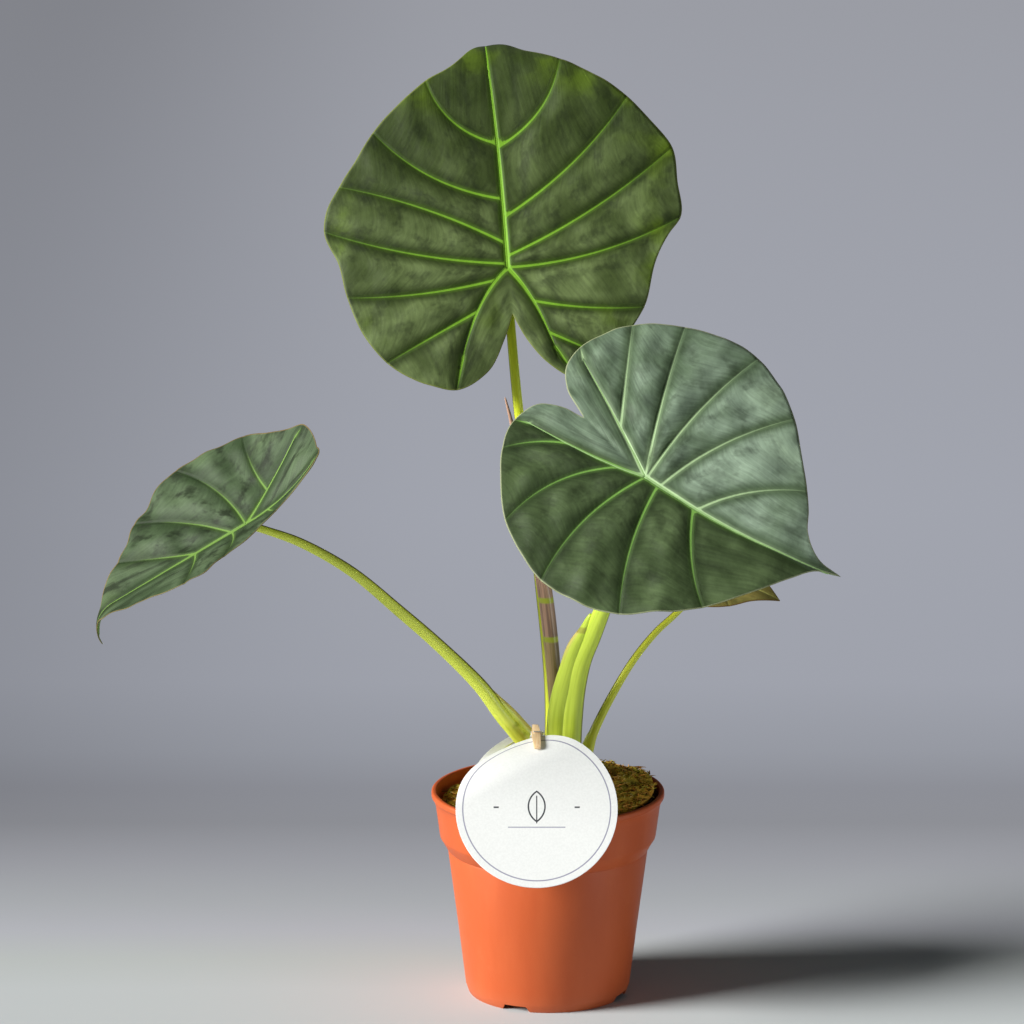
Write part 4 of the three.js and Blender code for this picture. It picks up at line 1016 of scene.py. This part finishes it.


# The pattern of every blade: dark along the veins, as painted shade, and paler and greyer on
# the puffed panels, as painted sheen, with fine feathering across them, yellow-green patches,
# blotches of painted shade, each half in a painted shade of its own, pale veins and a thin pale
# rim.
tree, given, result = group(
    "leaf_pattern",
    (
        "Deep", "Sheen", "Fresh", "Vein", "Rim", "Under",
        "Left half shade", "Right half shade", "Right vein shade",
    ),
    {"Hollow shade": 0.3, "Tip tone": 1, "Lobe tone": 1, "Fresh amount": 0.5, "Vein fade": 0.5},
)
pattern = tree
carried = ("vein", "vein_share", "rim", "reach", "phase", "under", "wing", "spine")
vein, share, rim, reach, phase, under, wing, spine = (value_of(tree, name) for name in carried)
place = where(tree)[0]
cloud = mottle(tree, place, 42, 3)
puck = mottle(tree, place, 105, 3, Roughness=0.45)
between = calc(tree, "SINE", times(tree, phase, math.pi))
crosswise = vector(
    tree,
    times(tree, plus(tree, reach, times(tree, between, 7)), 0.62),
    times(tree, phase, 2.2),
    times(tree, cloud, 1.5),
)
feather = mottle(tree, crosswise, 1, 3, Roughness=0.55)
lengthwise = vector(
    tree, times(tree, reach, 0.10), times(tree, phase, 2.6), times(tree, cloud, 2.5)
)
hollow_noise = mottle(tree, lengthwise, 1, 3, Roughness=0.6)

# Painted sheen: the puffed panels paler and greyer away from the veins, scaled by the tip's and
# the lobes' tones; near the veins the deep colour stays, as painted shade.
pale = times(tree, ease(tree, vein, 0.5, 7), ease(tree, cloud, 0.3, 0.68, 0.25, 1))
faded = ease(tree, spine, 0.75, -0.3, given["Tip tone"], given["Lobe tone"])
colour = blend(tree, times(tree, pale, faded, clamp=True), given["Deep"], given["Sheen"])
young = times(tree, ease(tree, rim, 26, 2), ease(tree, cloud, 0.48, 0.7))
colour = blend(tree, times(tree, young, given["Fresh amount"]), colour, given["Fresh"])
shade = plus(tree, times(tree, feather, 0.9), 0.55)
shade = add(tree, "ShaderNodeCombineColor", {0: shade, 1: shade, 2: shade}).outputs[0]
colour = tinted(tree, colour, shade)
# Painted shade in blotches along the panels, as in the hollows of the quilting.
painted_hollow_shade = times(tree, ease(tree, hollow_noise, 0.54, 0.30), given["Hollow shade"])
colour = blend(tree, painted_hollow_shade, colour, paint(22, 32, 14))
# Painted shade by halves: each half of the blade is multiplied by its own shade, and the veins of
# the right half by theirs.
on_right = ease(tree, wing, -1.5, 1.5)
colour = tinted(tree, colour, blend(tree, on_right, given["Left half shade"], given["Right half shade"]))
vein_colour = blend(tree, on_right, given["Vein"], given["Right vein shade"], "MULTIPLY")
faint = times(tree, calc(tree, "POWER", share, 1.5), given["Vein fade"])
fading = minus(tree, 1, faint, clamp=True)
glimmer = times(tree, ease(tree, vein, 2.2, 0), 0.22)
colour = blend(tree, times(tree, glimmer, fading), colour, vein_colour)
drawn = times(tree, ease(tree, vein, 0.3, -0.25), fading)
colour = blend(tree, drawn, colour, vein_colour)
colour = blend(tree, ease(tree, rim, 0.75, 0.25, 0, 0.75), colour, given["Rim"])
beneath = blend(tree, ease(tree, vein, 1.2, -0.2, 0, 0.7), given["Under"], given["Vein"])
tree.links.new(blend(tree, under, colour, beneath), result["Color"])
height = plus(tree, times(tree, puck, 0.9), times(tree, feather, 0.12))
height = minus(tree, height, times(tree, ease(tree, vein, 1.4, -0.3), 0.35))
tree.links.new(height, result["Height"])

SKINS = {
    "top": {
        "Deep": (48, 64, 20), "Sheen": (104, 122, 72), "Fresh": (92, 118, 20),
        "Vein": (112, 160, 40), "Rim": (112, 120, 60), "Under": (118, 132, 92),
        "Fresh amount": 0.7, "Vein fade": 0.9, "Tip tone": 0.25, "Lobe tone": 1.6,
        "Left half shade": (220, 220, 220), "Right half shade": (228, 228, 228), "Hollow shade": 0.5,
    },
    "right": {
        "Deep": (68, 86, 62), "Sheen": (138, 158, 138), "Fresh": (88, 108, 66),
        "Vein": (160, 188, 140), "Rim": (150, 156, 120), "Under": (128, 146, 110),
        "Fresh amount": 0.3, "Vein fade": 0.9, "Tip tone": 1.0, "Lobe tone": 0.55,
        "Right half shade": (160, 168, 128), "Hollow shade": 0.4, "Right vein shade": (176, 208, 130),
    },
    "left": {
        "Deep": (40, 57, 30), "Sheen": (80, 97, 70), "Fresh": (58, 76, 32),
        "Vein": (104, 138, 62), "Rim": (120, 100, 60), "Under": (112, 128, 84),
        "Fresh amount": 0.4, "Vein fade": 1.5, "Hollow shade": 0.85,
    },
    "small": {
        "Deep": (112, 104, 50), "Sheen": (150, 142, 78), "Fresh": (140, 110, 50),
        "Vein": (160, 158, 84), "Rim": (110, 76, 34), "Under": (140, 132, 80),
        "Fresh amount": 0.6, "Vein fade": 0.4,
    },
}
for name, leaf in LEAVES.items():
    material, tree, shader = surface(
        "leaf_skin_" + name,
        Roughness=0.6,
        Specular_IOR_Level=0.18,
        Sheen_Weight=0.03,
        Sheen_Roughness=0.4,
    )
    looks = {
        label: paint(*value) if isinstance(value, tuple) else value
        for label, value in SKINS[name].items()
    }
    drawn = add(tree, "ShaderNodeGroup", looks, node_tree=pattern).outputs
    bump = relief(tree, drawn["Height"], 0.75, 0.001)
    feed(tree, shader, Base_Color=drawn["Color"], Normal=bump)
    bm = blade_mesh(leaf, fineness=14 if name == "small" else 9)
    made("leaf_" + name, bm, material, "blade_" + name)

# ---------------------------------------------------------------------------------------------
# The new leaf: still rolled to a spear in its purple-brown scale leaf, with two pale rings
# where older scales have dropped off.
SPEAR = [
    [4.8, -8, 106, 2.4, 2.4], [4.4, -6.6, 122, 2.8, 2.4], [4.1, -5.6, 146, 3.2, 2.8],
    [2.7, -5.4, 173, 3.7, 3.4], [1.4, -5, 188, 3.8, 3.6], [-1.9, -4, 215, 3.8, 3.6],
    [-10.4, 0, 261, 2.6, 2.6], [-19, 2, 302, 1, 1], [-22.1, 3, 314, 0.4, 0.4],
]
SCALE_RINGS = (0.2098, 0.1893)
bm = bmesh.new()
stem(bm, SPEAR, steps=120, sides=32, ends=(1, 1.5))
bmesh.ops.recalc_face_normals(bm, faces=bm.faces)
material, tree, shader, colour = stem_skin("scale_leaf", (198, 158, 132), (104, 76, 60), 0.65)
side, z = value_of(tree, "side"), where(tree)[3]
colour = blend(tree, ease(tree, z, 0.191, 0.187, 0, 0.6), colour, paint(168, 150, 88))
shaded = times(tree, ease(tree, side, 0.0, 0.8, 0, 0.75), ease(tree, z, 0.21, 0.18, 0.3, 1))
colour = blend(tree, shaded, colour, paint(88, 78, 44))
for level in SCALE_RINGS:
    near = calc(tree, "ABSOLUTE", minus(tree, z, level))
    colour = blend(tree, ease(tree, near, 0.0020, 0.0008), colour, paint(176, 186, 52))
green = times(tree, ease(tree, z, 0.175, 0.150), ease(tree, side, -0.4, 0.6, 0.4, 1))
feed(tree, shader, Base_Color=blend(tree, green, colour, paint(96, 110, 40)))
made("rolled_leaf", bm, material, "new_leaf")

# ---------------------------------------------------------------------------------------------
# The tag: a round of stiff white card that leans on the rim, bent back at its top. It is printed
# with a thin ring, a small leaf outline between two dashes, and a rule below.
TAG_RADIUS = 41
TAG_HALF = 0.4
TAG_LEAN = math.radians(30.5)
TAG_BEND = 26
TAG_BEND_FROM = 62.5
TAG_SKEW = 0.5
TAG_X = -6
TAG_FOOT = (-77.4, 78.4)
WORN_EDGE = 0.7
RING_RADIUS = 37.4
LEAF_LEVEL, LEAF_ARC_RADIUS, LEAF_ARC_SHIFT = 1.2, 9.4, 5.2
LEAF_VEIN_DROP, LEAF_VEIN_HALF = 1.6, 7.2
DASH_LEVEL, DASH_AT, DASH_HALF = 0.8, 20.5, 1.3
RULE_DROP, RULE_HALF = 9.6, 14.5
RING_INK, RULE_INK, LEAF_INK, VEIN_INK, DASH_INK = 0.3, 0.25, 0.38, 0.28, 0.4


def tag_point(u, s, out):
    """A point `u` right of the card's middle, `s` up from its foot and `out` in front of it."""
    bend_from = TAG_BEND_FROM + TAG_SKEW * u
    straight = np.minimum(s, bend_from)
    lean = TAG_LEAN + np.maximum(0, s - bend_from) / TAG_BEND
    back = straight * math.sin(TAG_LEAN) + TAG_BEND * (math.cos(TAG_LEAN) - np.cos(lean))
    up = straight * math.cos(TAG_LEAN) + TAG_BEND * (np.sin(lean) - math.sin(TAG_LEAN))
    y = TAG_FOOT[0] + back - out * np.cos(lean)
    z = TAG_FOOT[1] + up + out * np.sin(lean)
    return np.stack(np.broadcast_arrays(TAG_X + u, y, z), axis=-1)


def card_stock(name, shaded, bright):
    """Uncoated card with a fine fibre, and its colour to print on."""
    material, tree, shader = surface(name, Roughness=0.62, Specular_IOR_Level=0.35)
    fibre = mottle(tree, where(tree)[0], 900, 4)
    feed(tree, shader, Normal=relief(tree, fibre, 0.15, 0.0001))
    white = blend(tree, ease(tree, fibre, 0.3, 0.7), paint(*shaded), paint(*bright))
    return material, tree, shader, white


def line(tree, distance, half_width):
    """1 on a printed line, 0 beside it, from the distance to its middle in millimetres."""
    away = calc(tree, "ABSOLUTE", distance)
    return ease(tree, away, half_width + 0.08, half_width - 0.05)


def from_middle(tree, across, up):
    squares = plus(tree, calc(tree, "POWER", across, 2), calc(tree, "POWER", up, 2))
    return calc(tree, "POWER", squares, 0.5)


def most(tree, first, second):
    return calc(tree, "MAXIMUM", first, second)


def there_and_back(front, back):
    return np.concatenate([front, back[::-1]])


r = np.concatenate([np.linspace(0, TAG_RADIUS - 0.3, 30), [TAG_RADIUS - 0.08, TAG_RADIUS]])
r, turn = np.meshgrid(r, full_turn(144), indexing="ij")
u, v = r * np.cos(turn), r * np.sin(turn)
half = np.full_like(u, TAG_HALF)
half[-1] *= WORN_EDGE
bm = bmesh.new()
verts = sheet(
    bm,
    there_and_back(tag_point(u, TAG_RADIUS + v, half), tag_point(u, TAG_RADIUS + v, -half)),
    card_u=there_and_back(u, u),
    card_v=there_and_back(v, v),
    card_back=there_and_back(np.zeros_like(u), np.ones_like(u)),
)
closed(bm, verts)
material, tree, shader, colour = card_stock("tag_card", (228, 230, 229), (234, 236, 235))
u, v, back = (value_of(tree, name) for name in ("card_u", "card_v", "card_back"))
aside, facing = calc(tree, "ABSOLUTE", u), minus(tree, 1, back)
ring = line(tree, minus(tree, from_middle(tree, u, v), RING_RADIUS), RING_INK)
rule = times(tree, line(tree, plus(tree, v, RULE_DROP), RULE_INK), line(tree, u, RULE_HALF))
leaf_v = minus(tree, v, LEAF_LEVEL)
from_arc = from_middle(tree, plus(tree, aside, LEAF_ARC_SHIFT), leaf_v)
leaf_edge = line(tree, minus(tree, from_arc, LEAF_ARC_RADIUS), LEAF_INK)
vein_span = line(tree, plus(tree, leaf_v, LEAF_VEIN_DROP), LEAF_VEIN_HALF)
leaf_vein = times(tree, line(tree, u, VEIN_INK), vein_span)
dash_span = line(tree, minus(tree, aside, DASH_AT), DASH_HALF)
dashes = times(tree, line(tree, minus(tree, v, DASH_LEVEL), DASH_INK), dash_span)
pale_ink = times(tree, most(tree, ring, rule), facing)
dark_ink = times(tree, most(tree, most(tree, leaf_edge, leaf_vein), dashes), facing)
colour = blend(tree, pale_ink, colour, paint(146, 146, 166))
feed(tree, shader, Base_Color=blend(tree, dark_ink, colour, paint(58, 60, 66)))
made("tag_round", bm, material, "tag_card", sharp=50)

# ---------------------------------------------------------------------------------------------
# The strap: a narrow strip of the same card that ties the tag to the stalks, painted whiter
# than the tag as painted light where the left leaf shades it. It runs behind them from the
# tag's upper left edge to its right.
STRAP = [
    [-36, -41.6, 128.8], [-33, -34.4, 131.2], [-29.4, -27, 133.6], [-22.6, -12, 135],
    [-12, 4, 135.8], [3, 11, 134], [17, 7, 127], [25.6, -8, 122], [27.6, -28, 119.4],
    [26, -52, 119.4],
]
# The strip's section, [thickwards, widthwards] in millimetres, its corners a little worn.
STRIP = [
    (-0.4, -2.7), (-0.3, -2.8), (0.3, -2.8), (0.4, -2.7), (0.4, 2.7), (0.3, 2.8), (-0.3, 2.8),
    (-0.4, 2.7), (-0.4, -2.7),
]
route = smooth_route([[*p, 0, 0] for p in STRAP], 100)[:100, :3]
tangent = tangents(route)
upwards = squared_to((-0.85, 0.5, 0.07), tangent)
flatwise = np.cross(tangent, upwards)
points = np.stack([route + flatwise * a + upwards * b for a, b in STRIP], axis=1)
bm = bmesh.new()
closed(bm, sheet(bm, capped(points, route[[0, -1]])))
# The strap's card is painted whiter than the tag's: painted light for the left leaf's shade.
material, tree, shader, colour = card_stock("strap_card_painted_whiter", (240, 241, 241), (246, 247, 247))
feed(tree, shader, Base_Color=colour)
made("tag_tie", bm, material, "tag_strap", sharp=30)

# ---------------------------------------------------------------------------------------------
# The clothes-peg: two slips of bare wood that clamp the card, each grooved for the spring, with
# a wound steel wire between them whose ends hook over both.
PEG_WIDTH = 5
PEG_LENGTH = 15.8
PEG_GRIP = 10.4
PEG_LEAN = math.radians(62)
FRONT_GAP, BACK_GAP = 0.4, 1.5
PEG_ROUNDING = 0.16
PEG_SHIFT, PEG_ASKEW = 0.45, 0.07
# How much of its width a slip keeps, by the distance from its jaws.
PEG_TAPER = [0, 2, 7, 11, PEG_LENGTH], [0.62, 0.78, 0.92, 0.88, 0.6]
SPRING_AT = 12.2
WIRE = 0.36
COIL = 1.25
COIL_TURNS, COIL_STEPS, COIL_HALF_WIDTH = 6, 12, 2.9
ARM_LIFT, ARM_CLEAR = 3.35, 0.5
# One slip's side, [from the jaws, from the card].
PEG_OUTLINE = [
    (0, 0.6), (0.25, 0.2), (0.7, 0), (SPRING_AT - 1.9, 0), (SPRING_AT - 1.3, 0.7),
    (SPRING_AT, 1.15), (SPRING_AT + 1.3, 0.8), (SPRING_AT + 1.8, 0.5), (PEG_LENGTH, 1.3),
    (PEG_LENGTH, 2.6), (15.2, 3), (14, 2.7), (11, 2.6), (10.7, 2.2), (9.5, 2.2), (9.2, 2.5),
    (3, 2.4), (1.4, 2.25), (0.5, 1.9), (0, 1.4),
]
# One end of the wire: [back from the spring, share of its lift, share of its way across].
ARM = [
    (0.6, 0, 1), (1.4, 0.55, 1), (1.9, 0.95, 0.97), (2.1, 1.02, 0.7), (2.1, 1, 0),
    (2.1, 1, -0.6),
]
lean_y, lean_z = math.sin(PEG_LEAN), math.cos(PEG_LEAN)
along = np.array([0, lean_y, lean_z])
outwards = np.array([0, -lean_z, lean_y])
jaws = tag_point(0, 2 * TAG_RADIUS - PEG_GRIP / 2, 0) - along * PEG_GRIP / 2


def peg_point(a, out, across):
    """A point in millimetres, `a` up from the jaws' lower end and `out` in front of the card."""
    return jaws + along * a + outwards * out + np.array([across, 0, 0])


material, tree, shader = surface("peg_wood", Roughness=0.7, Specular_IOR_Level=0.3)
_, x, y, z = where(tree)
down = plus(tree, times(tree, y, lean_y), times(tree, z, lean_z))
through = minus(tree, times(tree, z, lean_y), times(tree, y, lean_z))
run = vector(tree, times(tree, x, 1200), times(tree, through, 1200), times(tree, down, 60))
grain = mottle(tree, run, 1.4, 4, Distortion=0.4)
colour = tones(tree, grain, [(0.3, 238, 194, 140), (0.5, 248, 214, 166), (0.7, 252, 226, 186)])
feed(tree, shader, Base_Color=colour, Normal=relief(tree, grain, 0.4, 0.0002))
for label, inner in (("front", TAG_HALF + FRONT_GAP), ("back", TAG_HALF + BACK_GAP)):
    side = 1 if label == "front" else -1
    places = [peg_point(a, side * (inner + h), -PEG_WIDTH / 2) for a, h in PEG_OUTLINE]
    bm = bmesh.new()
    cheek = bm.faces.new([bm.verts.new(place * MM) for place in places])
    far = bmesh.ops.extrude_face_region(bm, geom=[cheek])["geom"]
    far = [g for g in far if isinstance(g, bmesh.types.BMVert)]
    bmesh.ops.translate(bm, verts=far, vec=(PEG_WIDTH * MM, 0, 0))
    for vert in bm.verts:
        a = (Vector(vert.co) / MM - Vector(jaws)).dot(Vector(along))
        aside = (vert.co.x / MM - TAG_X) * np.interp(a, *PEG_TAPER)
        vert.co.x = (TAG_X + aside + PEG_SHIFT - PEG_ASKEW * a) * MM
    bmesh.ops.recalc_face_normals(bm, faces=bm.faces)
    rims = [e for e in bm.edges if abs(e.verts[0].co.x - e.verts[1].co.x) < 5e-4]
    bmesh.ops.bevel(
        bm,
        geom=rims,
        offset=PEG_ROUNDING * MM,
        affect="EDGES",
        segments=2,
        profile=0.5,
        material=-1,
        clamp_overlap=True,
    )
    made("peg_half_" + label, bm, material, "peg_" + label, sharp=30)

bm = bmesh.new()
count = COIL_TURNS * COIL_STEPS
coil = []
for k in range(count + 1):
    turn = k / COIL_STEPS * 2 * math.pi
    across = COIL_HALF_WIDTH * (2 * k / count - 1)
    place = peg_point(SPRING_AT + COIL * math.cos(turn), COIL * math.sin(turn), across)
    coil.append([*place, WIRE, WIRE])
stem(bm, coil, steps=3 * count, sides=8, depthwards=(1, 0, 0), ends=(0.3, 0.3))
for side in (1, -1):
    lift = side * (TAG_HALF + ARM_LIFT)
    across = side * (PEG_WIDTH / 2 + ARM_CLEAR)
    places = [peg_point(SPRING_AT - back, lift * up, across * way) for back, up, way in ARM]
    hook = [[*place, WIRE, WIRE] for place in places]
    stem(bm, hook, steps=40, sides=8, depthwards=outwards * 0.6 + along, ends=(0.3, 0.3))
bmesh.ops.recalc_face_normals(bm, faces=bm.faces)
material, tree, shader = surface("spring_wire", Metallic=1.0)
scuff = mottle(tree, where(tree)[0], 1800, 3)
colour = blend(tree, scuff, paint(214, 212, 206), paint(232, 231, 228))
feed(tree, shader, Base_Color=colour, Roughness=ease(tree, scuff, 0.3, 0.7, 0.4, 0.55))
made("peg_wire", bm, material, "peg_spring")
